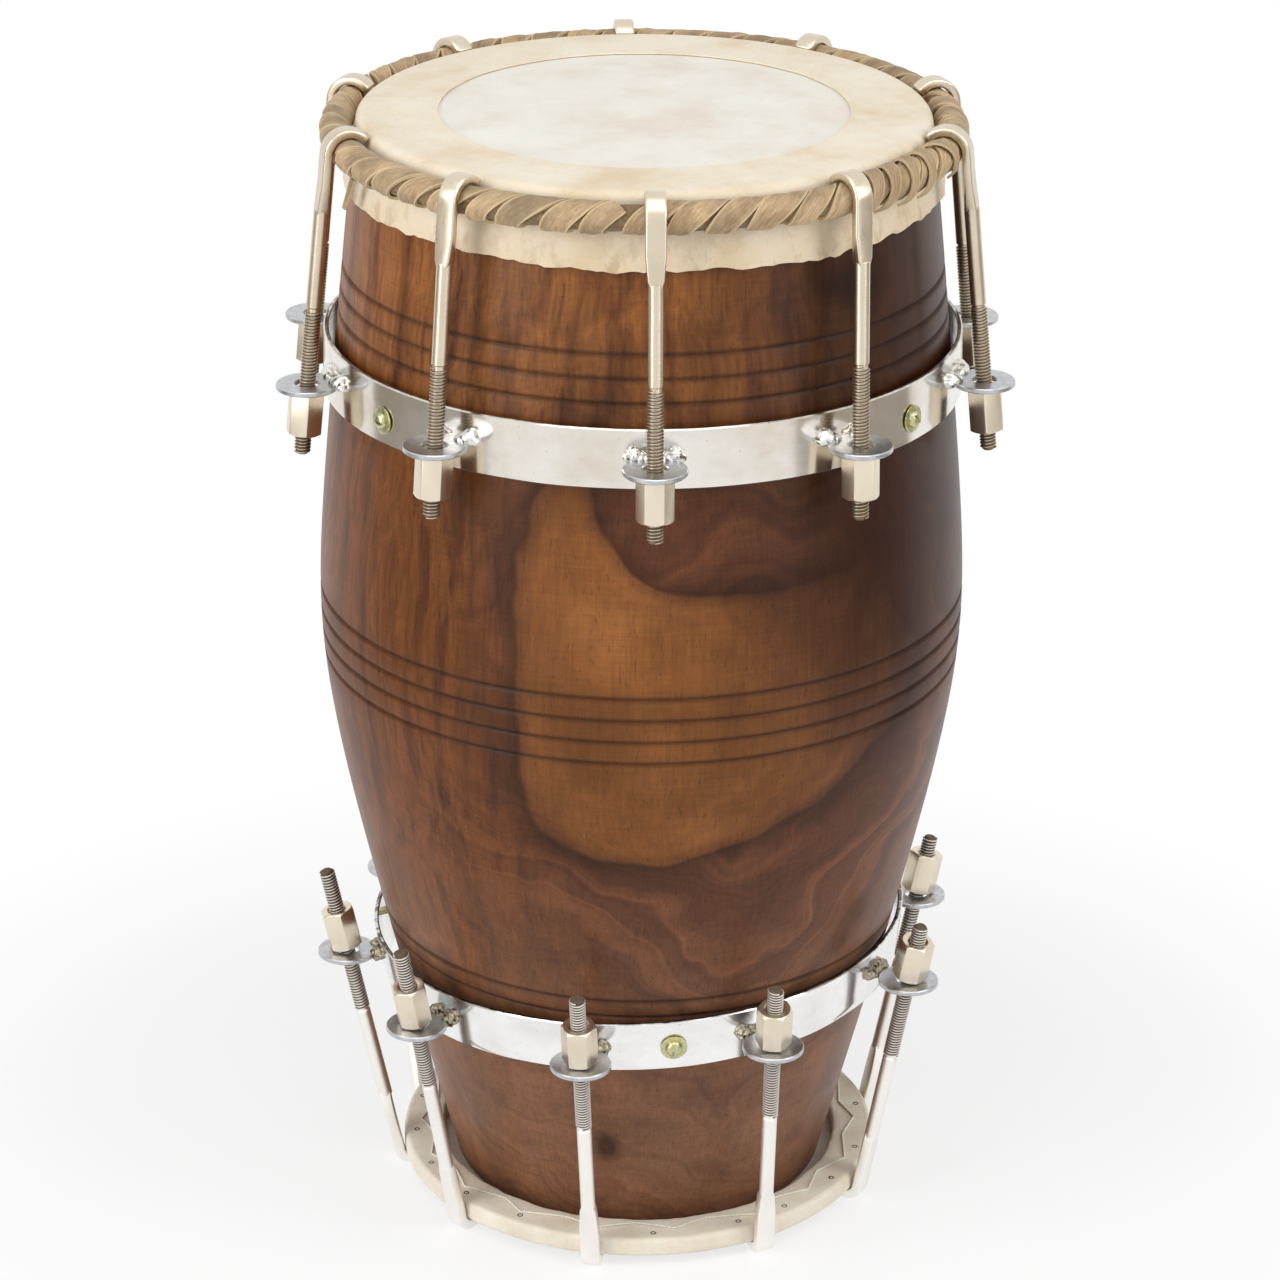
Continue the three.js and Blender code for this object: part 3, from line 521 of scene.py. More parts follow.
    # dirt and lacquer gathered in the turned lines, with painted shade in their grooves
    cut = add(tree, "Attribute", attribute_name="turned_line").outputs["Fac"]
    wood = tinge(tree, cut, 0.62, wood, "#1d0f0b")
    dull = between(tree, fibres, 0.0, 1.0, 0.32, 0.48)
    dress(tree, shader, wood, figure(tree, "MULTIPLY_ADD", cut, 0.4, dull))
    marks = figure(tree, "MULTIPLY_ADD", sanding, 0.8, figure(tree, "ADD", fibres, pores))
    bumped(tree, shader, marks, 0.06, 0.25)
    return made


# Chrome-plated steel strip, rolled and buffed: a near-white mirror with faint dents, long buffing lines and
# an upper edge that is worn dark in places.
def make_chrome(name, base, stain, wear):
    made, tree, shader, place = material(name, Metallic=1.0, Roughness=0.14)
    lines = grain(tree, place, 60, 0.9, detail=4, rough=0.65)
    stains = ramp(tree, grain(tree, place, 30, 22, detail=4, rough=0.6), (0.4, 0.0), (0.75, 1.0))
    color = blend(tree, stains, tint(base), tint(stain))
    specks = ramp(tree, grain(tree, place, 1.6), (0.24, 1.0), (0.3, 0.0))
    color = tinge(tree, specks, 0.4, color, "#8b7c66")
    edge = add(tree, "Attribute", attribute_name="worn_edge").outputs["Fac"]
    rubbed = ramp(tree, grain(tree, place, 4, 1.5), (0.4, 0.3), (0.56, 1.0))
    color = tinge(tree, edge, figure(tree, "MULTIPLY", rubbed, wear), color, "#4a4038")
    dress(tree, shader, color, between(tree, lines, 0.0, 1.0, 0.07, 0.22))
    dents = grain(tree, place, 40, 24, detail=1)
    bumped(tree, shader, figure(tree, "MULTIPLY_ADD", lines, 0.03, dents), 0.5, 0.3)
    return made


# Nickel-plated steel rod: a warm silver with brown grime and painted shade in the roots of the thread.
def make_nickel(name, base, darkening, root_dirt_and_shade, satin):
    made, tree, shader, place = material(name, Metallic=1.0, Roughness=0.2)
    patches = ramp(tree, grain(tree, place, 12, 20, rough=0.55), (0.45, 0.0), (0.75, 1.0))
    color = tinge(tree, patches, 0.35, tint(base), darkening)
    # painted shade and grime: the roots of the thread and the core between them turn brown
    root = add(tree, "Attribute", attribute_name="thread_root").outputs["Fac"]
    sunk = between(tree, root, 0.12, 0.6)
    color = tinge(tree, sunk, root_dirt_and_shade, color, "#5e482c")
    drawn_lines = grain(tree, place, 1.2, 40, detail=2)
    rough = between(tree, drawn_lines, 0.0, 1.0, satin, satin + 0.14)
    dress(tree, shader, color, figure(tree, "MULTIPLY_ADD", sunk, 0.4, rough))
    return made


# Arc-weld metal: bright lumps, or where the plating burnt off a brassy brown, with flux left in the hollows.
def make_weld(name, base, flux):
    made, tree, shader, place = material(name, Metallic=1.0, Roughness=0.32)
    lumps = grain(tree, place, 2.2)
    hollows = ramp(tree, lumps, (0.34, 1.0), (0.46, 0.0))
    dress(tree, shader, blend(tree, hollows, tint(base), tint(flux)))
    bumped(tree, shader, lumps, 0.2, 0.3)
    return made


# Rawhide, scraped, limed and dried on the drum: waxy, cream to ivory, with clouded patches and faint fibres.
def make_rawhide(name, pale, mid, stain, patch, rough, yellowed=0.0):
    made, tree, shader, place = material(
        name, Roughness=rough, IOR=1.45, Subsurface_Weight=0.12, Subsurface_Scale=0.002,
        Sheen_Weight=0.08)
    clouds = grain(tree, place, patch, detail=4, rough=0.6)
    color = ramp(tree, clouds, (0.32, stain), (0.48, mid), (0.66, pale))
    hairs = grain(tree, place, 1.1, 1.1, detail=4, rough=0.7)
    color = blend(tree, 0.25, color, ramp(tree, hairs, (0.3, 0.35), (0.7, 0.65)), "OVERLAY")
    veins = ramp(tree, grain(tree, place, 38, detail=5, rough=0.72), (0.47, 0.0), (0.5, 1.0), (0.53, 0.0))
    color = tinge(tree, veins, 0.22, color, stain)
    # the part pulled down over the rim is thinner, has yellowed and is soiled in its creases
    height = add(tree, "SeparateXYZ", {0: place}).outputs["Z"]
    pulled = between(tree, height, 0.438, 0.422, 0.0, yellowed)
    color = blend(tree, pulled, color, tint("#c9a878"))
    soiled = ramp(tree, grain(tree, place, 7, 12, detail=5, rough=0.65), (0.5, 0.0), (0.62, 1.0))
    creases = figure(tree, "MULTIPLY", pulled, soiled)
    dress(tree, shader, blend(tree, creases, color, tint("#a07f4e")))
    relief = figure(tree, "MULTIPLY_ADD", clouds, 2.0, figure(tree, "ADD", hairs, creases))
    bumped(tree, shader, relief, 0.12, 0.35)
    return made


# Buffalo-hide thong, cut by hand and dried: tan, fibrous along its length, with pale cut edges.
def make_thong():
    made, tree, shader, place = material(
        "hide_thong_hand_cut", Roughness=0.72, IOR=1.45, Sheen_Weight=0.1)
    strip = add(tree, "UVMap", uv_map="strip").outputs[0]
    fibres = speckle(tree, strip, (6.0, 0.12, 1.0), 1.5, 5, 0.7)
    color = ramp(tree, fibres, (0.3, "#7e6647"), (0.5, "#a48866"), (0.7, "#c3a883"))
    patches = ramp(tree, grain(tree, place, 16, detail=4, rough=0.6), (0.35, 0.0), (0.7, 1.0))
    color = tinge(tree, patches, 0.5, color, "#c9b18c")
    tones = speckle(tree, strip, (0.6, 0.04, 1.0), 1.0, 2, 0.5)
    color = blend(tree, 0.8, color, ramp(tree, tones, (0.34, 0.28), (0.66, 0.68)), "OVERLAY")
    across = add(tree, "SeparateXYZ", {0: strip}).outputs["X"]
    side = figure(tree, "ABSOLUTE", figure(tree, "SUBTRACT", across, 0.5))
    rim = ramp(tree, side, (0.4, 0.0), (0.49, 1.0))
    dress(tree, shader, tinge(tree, rim, 0.7, color, "#dcc59c"))
    bumped(tree, shader, fibres, 0.35, 0.7)
    return made


# Hide wrapped round the ring under the lashing: darker and dustier, with slanting wrinkles.
def make_wrap():
    made, tree, shader, _ = material(
        "hide_ring_wrap_dried", Roughness=0.8, IOR=1.45, Sheen_Weight=0.1)
    strip = add(tree, "UVMap", uv_map="strip").outputs[0]
    fibres = speckle(tree, strip, (3.0, 0.35, 1.0), 1.2, 5, 0.7, 0.6)
    dress(tree, shader, ramp(tree, fibres, (0.3, "#5f4b35"), (0.5, "#80684a"), (0.7, "#9c8260")))
    bumped(tree, shader, fibres, 0.6, 0.8)
    return made


def make_simple(name, pattern, stops, relief=None, dull=None, **numbers):
    """A material of one chance pattern: its colours, how it stands proud and how its gloss changes."""
    made, tree, shader, place = material(name, **numbers)
    marks = grain(tree, place, **pattern)
    rough = between(tree, marks, 0.0, 1.0, *dull) if dull else None
    dress(tree, shader, ramp(tree, marks, *stops), rough)
    if relief:
        bumped(tree, shader, marks, *relief)
    return made


SHEESHAM = make_sheesham()
CHROME = make_chrome("chrome_plated_steel_strip_buffed", "#eae6df", "#d6cbbb", 0.55)
# The lower band's copy is whiter: partly a whiter tone of its own, partly a painted reflection of the bright
# floor close below it.
CHROME_WHITER_WITH_PAINTED_REFLECTION = make_chrome("chrome_plated_steel_strip_whiter_with_painted_reflection", "#f6f6f5", "#e4e2df", 0.95)
NICKEL = make_nickel("nickel_plated_steel_rod", "#dccfba", "#bfae93", 0.8, 0.22)
# The lower hooks' copy of the rod nickel: its paler colour is a painted reflection of the white floor around
# them.
NICKEL_WITH_PAINTED_REFLECTION = make_nickel("nickel_plated_steel_rod_with_painted_reflection", "#f8f5f0", "#e6dfd4", 0.9, 0.36)
NUT_NICKEL = make_nickel("nickel_plated_steel_nut", "#e8dcc8", "#c8b99d", 0.5, 0.24)
WELD = make_weld("arc_weld_bead_plated_over", "#e4e3e0", "#5f503b")
BURNT_WELD = make_weld("arc_weld_bead_burnt_brown", "#a39a87", "#33281b")
PALE_HIDE = make_rawhide("goat_rawhide_scraped_pale", "#f2ece3", "#ede6da", "#e4d9ca", 34, 0.55)
CREAM_HIDE = make_rawhide("cow_rawhide_limed_cream", "#f1e5d1", "#ebdcc3", "#dfc8a5", 34, 0.5, 0.4)
HOOP_HIDE = make_rawhide("goat_rawhide_dried_ivory", "#ece5d6", "#e4dac8", "#d8cbb4", 22, 0.6)
THONG = make_thong()
WRAP = make_wrap()

# Steel washer, pressed and zinc-plated: blue-grey, duller than the strip, with fine turned scratches.
WASHER_STEEL = make_simple(
    "zinc_plated_steel_washer", {"across": 3, "along": 1.2, "detail": 5, "rough": 0.7},
    [(0.3, "#a9abaf"), (0.7, "#d3d4d6")], (0.04, 0.25), (0.22, 0.42), Metallic=1.0, Roughness=0.3)
# Steel wood screw with yellow zinc plating: a greenish-gold sheen that changes in patches.
YELLOW_ZINC = make_simple(
    "yellow_zinc_plated_screw", {"across": 3},
    [(0.35, "#9aa283"), (0.52, "#cfcaa0"), (0.68, "#b9b276")], (0.08, 0.4), Metallic=1.0, Roughness=0.28)
# Black mild steel, rolled: dull grey-brown scale.
HOOP_IRON = make_simple(
    "mild_steel_hoop_rolled", {"across": 8, "detail": 4}, [(0.35, "#4a4541"), (0.65, "#75706b")],
    Metallic=1.0, Roughness=0.6)
# Cotton thread, twisted: off-white with fine strands.
THREAD = make_simple(
    "cotton_thread_twisted", {"across": 0.7, "rough": 0.7}, [(0.35, "#cfc6b4"), (0.6, "#efeadd")],
    (0.3, 0.6), Roughness=0.85, IOR=1.45, Sheen_Weight=0.2)
# Painted shade inside a punched hole in rawhide: near black.
HOLE_SHADE = make_simple(
    "painted_shade_in_punched_hole", {"across": 0.5}, [(0.3, "#150d08"), (0.7, "#33241a")], Roughness=0.9)


# Camera and room.

CAMERA_PLACE = (0, -1.550, 0.8935)
CAMERA_PITCH = 66.82
CAMERA_ROLL = 0.37
CAMERA_LENS = 119.25
CAMERA_SHIFT = -1 / 1280
DRUM_MIDDLE = (0, 0, 0.22)
FLOOR_SIZE = 12
FLAG_SIZE = 0.6
FLAG_PLACE = (0.62, -0.19, 0.3)


def point_camera():
    bpy.ops.object.camera_add(location=CAMERA_PLACE, rotation=(radians(CAMERA_PITCH), 0, 0))
    camera = bpy.context.object
    camera.rotation_euler.rotate_axis("Z", radians(CAMERA_ROLL))
    camera.data.lens = CAMERA_LENS
    camera.data.sensor_width = 36
    camera.data.shift_x = CAMERA_SHIFT
    bpy.context.scene.camera = camera


def softbox(name, place, width, height, power):
    """A large soft lamp that faces the middle of the drum."""
    bpy.ops.object.light_add(type="AREA", location=place)
    lamp = bpy.context.object
    lamp.name = name
    lamp.data.shape = "RECTANGLE"
    lamp.data.size = width
    lamp.data.size_y = height
    lamp.data.energy = power
    aim = Vector(DRUM_MIDDLE) - Vector(place)
    lamp.rotation_euler = aim.to_track_quat("-Z", "Y").to_euler()


def grey_flag(name, side):
    """A grey board beside the drum that only mirrors, so that polished metal keeps its darker edges."""
    away, ahead, height = FLAG_PLACE
    flag = primitive(
        "plane", name, size=FLAG_SIZE, location=(side * away, ahead, height), rotation=(0, pi / 2, 0))
    flag.data.materials.append(material("grey_felt", Base_Color="#b0aba3", Roughness=1.0)[0])
    flag.visible_camera = False
    flag.visible_diffuse = False
    flag.visible_shadow = False


def emptied(owner):
    """The cleared node tree of a material or a world, and whether a ray sees it plainly or mirrored."""
    owner.use_nodes = True
    tree = owner.node_tree
    tree.nodes.clear()
    rays = add(tree, "LightPath")
    return tree, figure(tree, "MAXIMUM", rays.outputs["Is Camera Ray"], rays.outputs["Is Glossy Ray"])


def build_room():
    floor = primitive("plane", "studio_floor", size=FLOOR_SIZE)
    paper = bpy.data.materials.new("white_paper_sweep")
    tree, seen = emptied(paper)
    spot = add(tree, "TexCoord").outputs["Object"]
    away = vector(tree, "LENGTH", spot, out="Value")
    aside = vector(tree, "DISTANCE", spot, (-0.35, -0.6, 0), out="Value")
    matt = add(tree, "BsdfDiffuse", {"Color": between(tree, aside, 0.85, 1.6, 0.9, 0.45)})
    pale = add(tree, "BsdfDiffuse", {"Color": (0.9, 0.9, 0.9, 1)})
    white = add(tree, "Emission", {"Color": (1, 1, 1, 1), "Strength": 1.0})
    plain = between(tree, away, 0.2, 0.42, 0.7, 1.0, interpolation_type="SMOOTHSTEP")
    view = add(tree, "MixShader", {0: plain, 1: pale.outputs[0], 2: white.outputs[0]})
    mixed = add(tree, "MixShader", {0: seen, 1: matt.outputs[0], 2: view.outputs[0]})
    add(tree, "OutputMaterial", {"Surface": mixed.outputs[0]})
    floor.data.materials.append(paper)

    world = bpy.data.worlds.new("soft_white_room")
    bpy.context.scene.world = world
    tree, seen = emptied(world)
    lit, plain = [
        add(tree, "Background", {"Color": (1, 1, 1, 1), "Strength": power}) for power in (0.45, 1.0)]
    mixed = add(tree, "MixShader", {0: seen, 1: lit.outputs[0], 2: plain.outputs[0]})
    add(tree, "OutputWorld", {"Surface": mixed.outputs[0]})

    grey_flag("grey_flag_left", -1)
    grey_flag("grey_flag_right", 1)
    softbox("softbox_left", (-1.5, -1.1, 0.9), 1.1, 1.6, 23)
    softbox("softbox_right", (1.45, -0.75, 0.9), 0.9, 1.6, 14)
    softbox("softbox_top", (0.0, -0.5, 1.9), 1.4, 1.4, 8)

    bpy.context.scene.view_settings.view_transform = "Standard"


point_camera()
build_room()


# Shell.

# A turned line as steps from its middle, each with its share of the full depth.
LINE_SHARES = [(-1.8, 0), (-1.15, 0.1), (-0.7, 0.5), (-0.35, 0.92), (0, 1), (0.35, 0.92), (0.7, 0.5),
               (1.15, 0.1), (1.8, 0)]
LINE_DEPTH = 0.6
LINE_CLEAR = 3.5
STAIN_AND_SHADE_REACH = 2.0
WALL = 11
WALL_SWELL = 2.5


def shell_outline():
    """The turned log: bearing edges, a belly, three sets of turned lines, and the bore."""
    heights = [h for h in range(8, 420, 6) if all(abs(h - line) > LINE_CLEAR for line in TURNED_LINES)]
    outside = [(shell_radius(h), h) for h in heights]
    for line in TURNED_LINES:
        for step, share in LINE_SHARES:
            outside.append((shell_radius(line + step) - LINE_DEPTH * share, line + step))
    outside += [(bearing_radius(SHELL_HEIGHT - fall), SHELL_HEIGHT - fall) for fall in (18, 12, 6)]
    outside.sort(key=lambda point: point[1])
    foot = round_corner((shell_radius(RIM_ROUND) - RIM_ROUND, RIM_ROUND), RIM_ROUND, -90, 0, 5)
    top_middle = SHELL_HEIGHT - RIM_ROUND
    top = round_corner((bearing_radius(top_middle) - RIM_ROUND, top_middle), RIM_ROUND, 0, 90, 5)
    bore = []
    for i in range(24, -1, -1):
        height = SHELL_HEIGHT * i / 24
        wall = WALL + WALL_SWELL * sin(pi * height / SHELL_HEIGHT)
        bore.append((shell_radius(height) - wall, height))
    outline = foot + outside + top + bore
    outline.append(outline[0])
    return [(radius, height + SHELL_FOOT) for radius, height in outline]


# The turned lines are darkened by dirt and lacquer and by painted shade in their grooves.
def line_stain_and_shade(place):
    """How near a point on the outside of the wood is to a turned line, 1 at its middle."""
    height = place.z - SHELL_FOOT
    if hypot(place.x, place.y) < shell_radius(height) - WALL / 2:
        return 0
    return max(0, 1 - min(abs(height - line) for line in TURNED_LINES) / STAIN_AND_SHADE_REACH)


shell = turned("turned_shell", shell_outline(), 192)
smooth(shell, 50)
painted(shell, "turned_line", line_stain_and_shade)
finished(shell, SHEESHAM, "drum", "lacquered_wood", "shell")


# Bands with their washers and welds.

STRIP_EDGE = 0.5
WASHER_EDGE = 0.35
WELD_GRAIN = 0.45


def band_strip(name, band):
    """A rolled strip with soft edges, a little uneven where it was bent and beaten round."""
    foot, top, soft = band["foot"], band["foot"] + band["height"], STRIP_EDGE
    outer = [foot + soft + (band["height"] - 2 * soft) * i / 7 for i in range(8)]
    outline = [(soft, foot), (BAND_THICKNESS - soft, foot)]
    outline += [(BAND_THICKNESS, h) for h in outer]
    outline += [(BAND_THICKNESS - soft, top), (soft, top), (0, top - soft), (0, foot + soft), (soft, foot)]
    outline = [(band_radius(band, h) + out, h) for out, h in outline]
    strip = turned(name, outline, 180)
    painted(strip, "worn_edge", lambda place: 1 if place.z > top - soft / 2 else 0)

    def dented(place):
        x, y, z = place
        push = 0.22 * ripple(x, y, z, 34) + 0.1 * ripple(x + 90, y, z, 13)
        out = Vector((x, y, 0)).normalized() * push
        nicked = band is LOWER and z > top - soft - 0.1
        nick = 1.6 * max(0, ripple(x, y, 60, 5) - 0.42) if nicked else 0
        return x + out.x, y + out.y, z + 0.12 * ripple(x, y + 50, 0, 21) - nick

    reshape(strip, dented)
    smooth(strip, 40)
    strip.data.transform(band_tilt(band))
    return strip


def washer_model():
    """A pressed washer: a flat ring with rolled edges, lying at the origin."""
    half, edge = WASHER_THICKNESS / 2, WASHER_EDGE
    outline = [
        (WASHER_HOLE + edge, -half), (WASHER_RADIUS - edge, -half), (WASHER_RADIUS, edge - half),
        (WASHER_RADIUS, half - edge), (WASHER_RADIUS - edge, half), (WASHER_HOLE + edge, half),
        (WASHER_HOLE, half - edge), (WASHER_HOLE, edge - half), (WASHER_HOLE + edge, -half),
    ]
    washer = turned("washer_model", outline, 48)
    smooth(washer, 30)
    return washer


def weld_model(name, beads, spatter):
    """Drops of weld metal run together: round drops fused into one skin."""
    weld = joined(name, [
        primitive("ico_sphere", name, subdivisions=2, radius=radius * MM, scale=(1, 1.15, 0.9),
                  location=(x * MM, y * MM, z * MM))
        for x, y, z, radius in beads])
    apply(weld, "REMESH", "fused", mode="VOXEL", voxel_size=WELD_GRAIN * MM)
    apply(weld, "SMOOTH", "run", factor=0.5, iterations=2)
    normals = {tuple(point.co / MM): point.normal.copy() for point in weld.data.vertices}

    def spattered(place):
        push = spatter * (ripple(*place, 1.3) + 0.6 * ripple(*place, 0.6))
        return place + normals[tuple(place)] * push

    reshape(weld, spattered)
    smooth(weld, 80)
    return weld


def dressed_band(name, band, node, strip_metal, bead_metal, spatter, beads):
    """A band with ten washers and drops of weld at each, given as x, y, z from its face and a radius."""
    parts = [band_strip(name, band)]
    parts[0].data.materials.append(strip_metal)
    washer = washer_model()
    washer.data.materials.append(WASHER_STEEL)
    weld = weld_model("weld_model", beads, spatter)
    weld.data.materials.append(bead_metal)
    for index, (azimuth, _, height, drop) in enumerate(hook_places(band)):
        spot = shift(rod_radius(band, height), 0, height)
        parts.append(put(washer, f"{name}_washer", spoke(azimuth) @ spot))
        face = band_radius(band, band_middle(band) - drop) + BAND_THICKNESS
        side = -1 if index % 3 == 1 else 1
        turn = Matrix.Diagonal((1, side, 1, 1))
        bead = put(weld, f"{name}_weld", spoke(azimuth) @ shift(face, 0, height) @ turn)
        if side < 0:
            clean(bead)
        parts.append(bead)
    discard(washer, weld)
    finished(joined(name, parts), None, "drum", "band_steel", node)


dressed_band("upper_band", UPPER, "bass_band", CHROME, WELD, 0.15, [
    (0.8, 6.8, 1.7, 3.3), (2.1, 4.8, 1.2, 2.4), (0.0, 9.4, 0.9, 2.3), (0.1, 7.6, 3.6, 2.1),
    (0.8, -6.6, 1.6, 3.2), (2.1, -4.6, 1.1, 2.3), (0.0, -9.0, 1.0, 2.3), (0.1, -7.2, 3.5, 2.0),
    (0.6, 2.2, 0.2, 1.5), (0.6, -1.6, 0.1, 1.5), (0.4, 0.4, -0.9, 1.5)])
dressed_band("lower_band", LOWER, "treble_band", CHROME_WHITER_WITH_PAINTED_REFLECTION, BURNT_WELD, 0.75, [
    (1.0, 5.6, 1.2, 2.5), (2.6, 4.4, 0.9, 1.8), (0.3, 7.2, 0.2, 1.7), (1.8, 6.4, -0.6, 1.6),
    (1.0, -4.0, 0.9, 2.1), (2.5, -3.0, 0.6, 1.6), (0.2, -5.8, 0.4, 1.6),
    (1.2, 1.4, 0.1, 1.9), (1.2, -1.0, -0.4, 1.8)])


# Band screws.

SCREW_SHANK = 1.6
SCREW_LENGTH = 13
SCREW_POINT = 2
SCREW_WASHER_RADIUS = 5.25
SCREW_WASHER_FOOT = 0.3
SCREW_WASHER_TOP = 1.1
HEAD_RADIUS = 3.4
HEAD_EDGE = 0.25
HEAD_DOME = 2.1
SLOT_SIZE = (8, 0.85, 2.0)


def screw_model():
    """A slotted dome-head wood screw over a small flat washer, its axis along +Z, the band's face at 0."""
    under, over = SCREW_WASHER_FOOT, SCREW_WASHER_TOP
    shoulder = over + HEAD_EDGE
    outline = [
        (0, -SCREW_LENGTH), (SCREW_SHANK, SCREW_POINT - SCREW_LENGTH), (SCREW_SHANK, under),
        (SCREW_WASHER_RADIUS - 0.35, under), (SCREW_WASHER_RADIUS, under + 0.2),
        (SCREW_WASHER_RADIUS, over - 0.2), (SCREW_WASHER_RADIUS - 0.35, over), (HEAD_RADIUS - 0.1, over),
        (HEAD_RADIUS, shoulder),
    ]
    for i in range(1, 6):
        turn = radians(15 * i)
        outline.append((HEAD_RADIUS * cos(turn), shoulder + HEAD_DOME * sin(turn)))
    outline.append((0, shoulder + HEAD_DOME))
    screw = turned("screw_model", outline, 32)
    slot_height = shoulder + HEAD_DOME + 0.05
    slot = primitive("cube", "slot", size=MM, location=(0, 0, slot_height * MM), scale=SLOT_SIZE)
    carve(screw, slot)
    smooth(screw, 30)
    return screw


def place_screws(model, band, node):
    foot = band_radius(band, band["foot"])
    top = band_radius(band, band["foot"] + band["height"])
    slope = atan2(top - foot, band["height"])
    height = band_middle(band) - band["screw_lowering"]
    out = shift(band_radius(band, height) + BAND_THICKNESS, 0, height)
    square = Matrix.Rotation(slope, 4, "Y") @ Matrix.Rotation(pi / 2, 4, "Y")
    for index, azimuth in enumerate(band["screws"]):
        slot_turn = Matrix.Rotation(radians(CHANCE.choice([8, 40, 75, 110, 150])), 4, "Z")
        matrix = band_tilt(band) @ spoke(azimuth) @ out @ square @ slot_turn
        piece = put(model, f"{band['side']}_band_screw_{index + 1}", matrix)
        finished(piece, YELLOW_ZINC, "drum", "screw_zinc", f"{node}_{index + 1}")


screw = screw_model()
place_screws(screw, UPPER, "bass_screw")
place_screws(screw, LOWER, "treble_screw")
discard(screw)


# Hooks.

THREAD_ROOT = 2.45
ROD_END = 1.9
ROD_TAPER = 0.6
RUN_OUT = 0.5
ROD_SINK = 1.2
RIDGE_FOOT = 0.61
RIDGE_CREST = 0.12
RIDGE_SINK = 0.15
RIDGE_START = 0.75
THREAD_SPARE = 1.2
THREAD_DEPTH = 0.6
THREAD_GRIME_AND_SHADE = 0.2
DARKENING_STOP = 0.3

# The forged end: the bar where the rod runs into it, the neck above that, and how far it takes to widen.
BAR_START = (4.7, 4.9, 0.8)
BAR_NECK = (4.5, 6.3)
BAR_NECK_HEIGHT = 2.1
BAR_SPREAD = 9
BAR_EDGE = 0.8
BAR_SINK = 2.5
TIP_SHARE = 0.84

# Straight length, thickness, bend radius, angle of the bend, reach beyond it and steps round it.
CLAW_END = (20.5, CLAW_THICKNESS, 8.25, pi - radians(36 + 6.03) - 0.12, 1.0, 14)
FOOT_END = (25, FOOT_THICKNESS, 4.5, pi / 2 - LOWER["lean"], 7.7, 8)


def threaded_rod(thread, flat_start):
    """A round rod standing on its threaded end, with a cut thread of real pitch."""
    root = THREAD_ROOT
    core = primitive("circle", "core", vertices=20, radius=ROD_END * MM, fill_type="NGON")
    bpy.ops.object.mode_set(mode="EDIT")
    grow(ROD_TAPER, root / ROD_END, root / ROD_END)
    grow(thread - ROD_TAPER)
    grow(RUN_OUT, SHANK_RADIUS / root, SHANK_RADIUS / root)
    grow(flat_start + ROD_SINK - thread - RUN_OUT)
    clean(core)
    foot = root - RIDGE_SINK
    ridge = drawn("thread", [
        (foot, 0, -RIDGE_FOOT), (THREAD_RADIUS, 0, -RIDGE_CREST), (THREAD_RADIUS, 0, RIDGE_CREST),
        (foot, 0, RIDGE_FOOT), (foot, 0, -RIDGE_FOOT)])
    clean(ridge)
    ridge.data.transform(shift(0, 0, RIDGE_START))
    apply(ridge, "SCREW", "wind", axis="Z", angle=2 * pi, screw_offset=THREAD_PITCH * MM,
          iterations=int((thread - THREAD_SPARE) / THREAD_PITCH), steps=16, render_steps=16)
    edit(ridge)
    bpy.ops.mesh.select_all(action="DESELECT")
    bpy.ops.mesh.select_mode(type="EDGE")
    bpy.ops.mesh.select_non_manifold()
    bpy.ops.mesh.fill_holes(sides=4)
    clean(ridge)
    return joined("rod", [core, ridge])


def flat_end(start, straight, thickness, bend, sweep, reach, bend_steps):
    """The end of a rod, forged flat and bent over towards -X, its long edges eased."""
    deep, wide, tall = BAR_START
    neck_deep, neck_wide = BAR_NECK
    bar = primitive("cube", "bar", size=MM, location=(0, 0, start * MM), scale=BAR_START)
    bpy.ops.object.mode_set(mode="EDIT")
    choose_top(bar)
    grow(BAR_NECK_HEIGHT, neck_deep / deep, neck_wide / wide)
    grow(BAR_SPREAD, thickness / neck_deep, CLAW_WIDTH / neck_wide)
    grow(straight - BAR_SPREAD)
    height = start + tall / 2 + BAR_NECK_HEIGHT + straight
    bpy.ops.mesh.spin(steps=bend_steps, angle=sweep, center=(-bend * MM, 0, height * MM), axis=(0, 1, 0))
    ahead = Matrix.Rotation(-sweep, 4, "Y") @ Vector((0, 0, 1))
    bpy.ops.mesh.extrude_region_move(TRANSFORM_OT_translate={"value": ahead * reach * MM})
    bpy.ops.transform.resize(value=(1, TIP_SHARE, 1), center_override=(0, 0, 0))
    clean(bar)
    apply(bar, "BEVEL", "eased", width=BAR_EDGE * MM, segments=3, limit_method="ANGLE",
          angle_limit=radians(38))
    return bar


def hook_model(band, drop):
    """One hook standing on its threaded end at the origin, its claw or foot bent towards -X."""
    end = CLAW_END if band is UPPER else FOOT_END
    grip = abs(band_middle(band) - band["bend_height"]) / cos(band["lean"])
    seat = nut_seat(band)
    length = grip + seat + NUT_LENGTH + band["show"] - drop
    thread = band["show"] + NUT_LENGTH + seat + band["reach"] - drop
    flat_start = length - end[0] - BAR_SINK
    rod = threaded_rod(thread, flat_start)
    bar = flat_end(flat_start, *end)

    # How deep a point lies in the thread, for its grime and its painted shade.
    def darkening(place):
        depth = (THREAD_RADIUS - hypot(place.x, place.y)) / THREAD_DEPTH
        return min(max(THREAD_GRIME_AND_SHADE + depth, 0), 1) if place.z < thread - DARKENING_STOP else 0

    painted(rod, "thread_root", darkening)
    hook = joined(f"{band['side']}_hook_model", [rod, bar])
    smooth(hook, 32)
    return hook, length


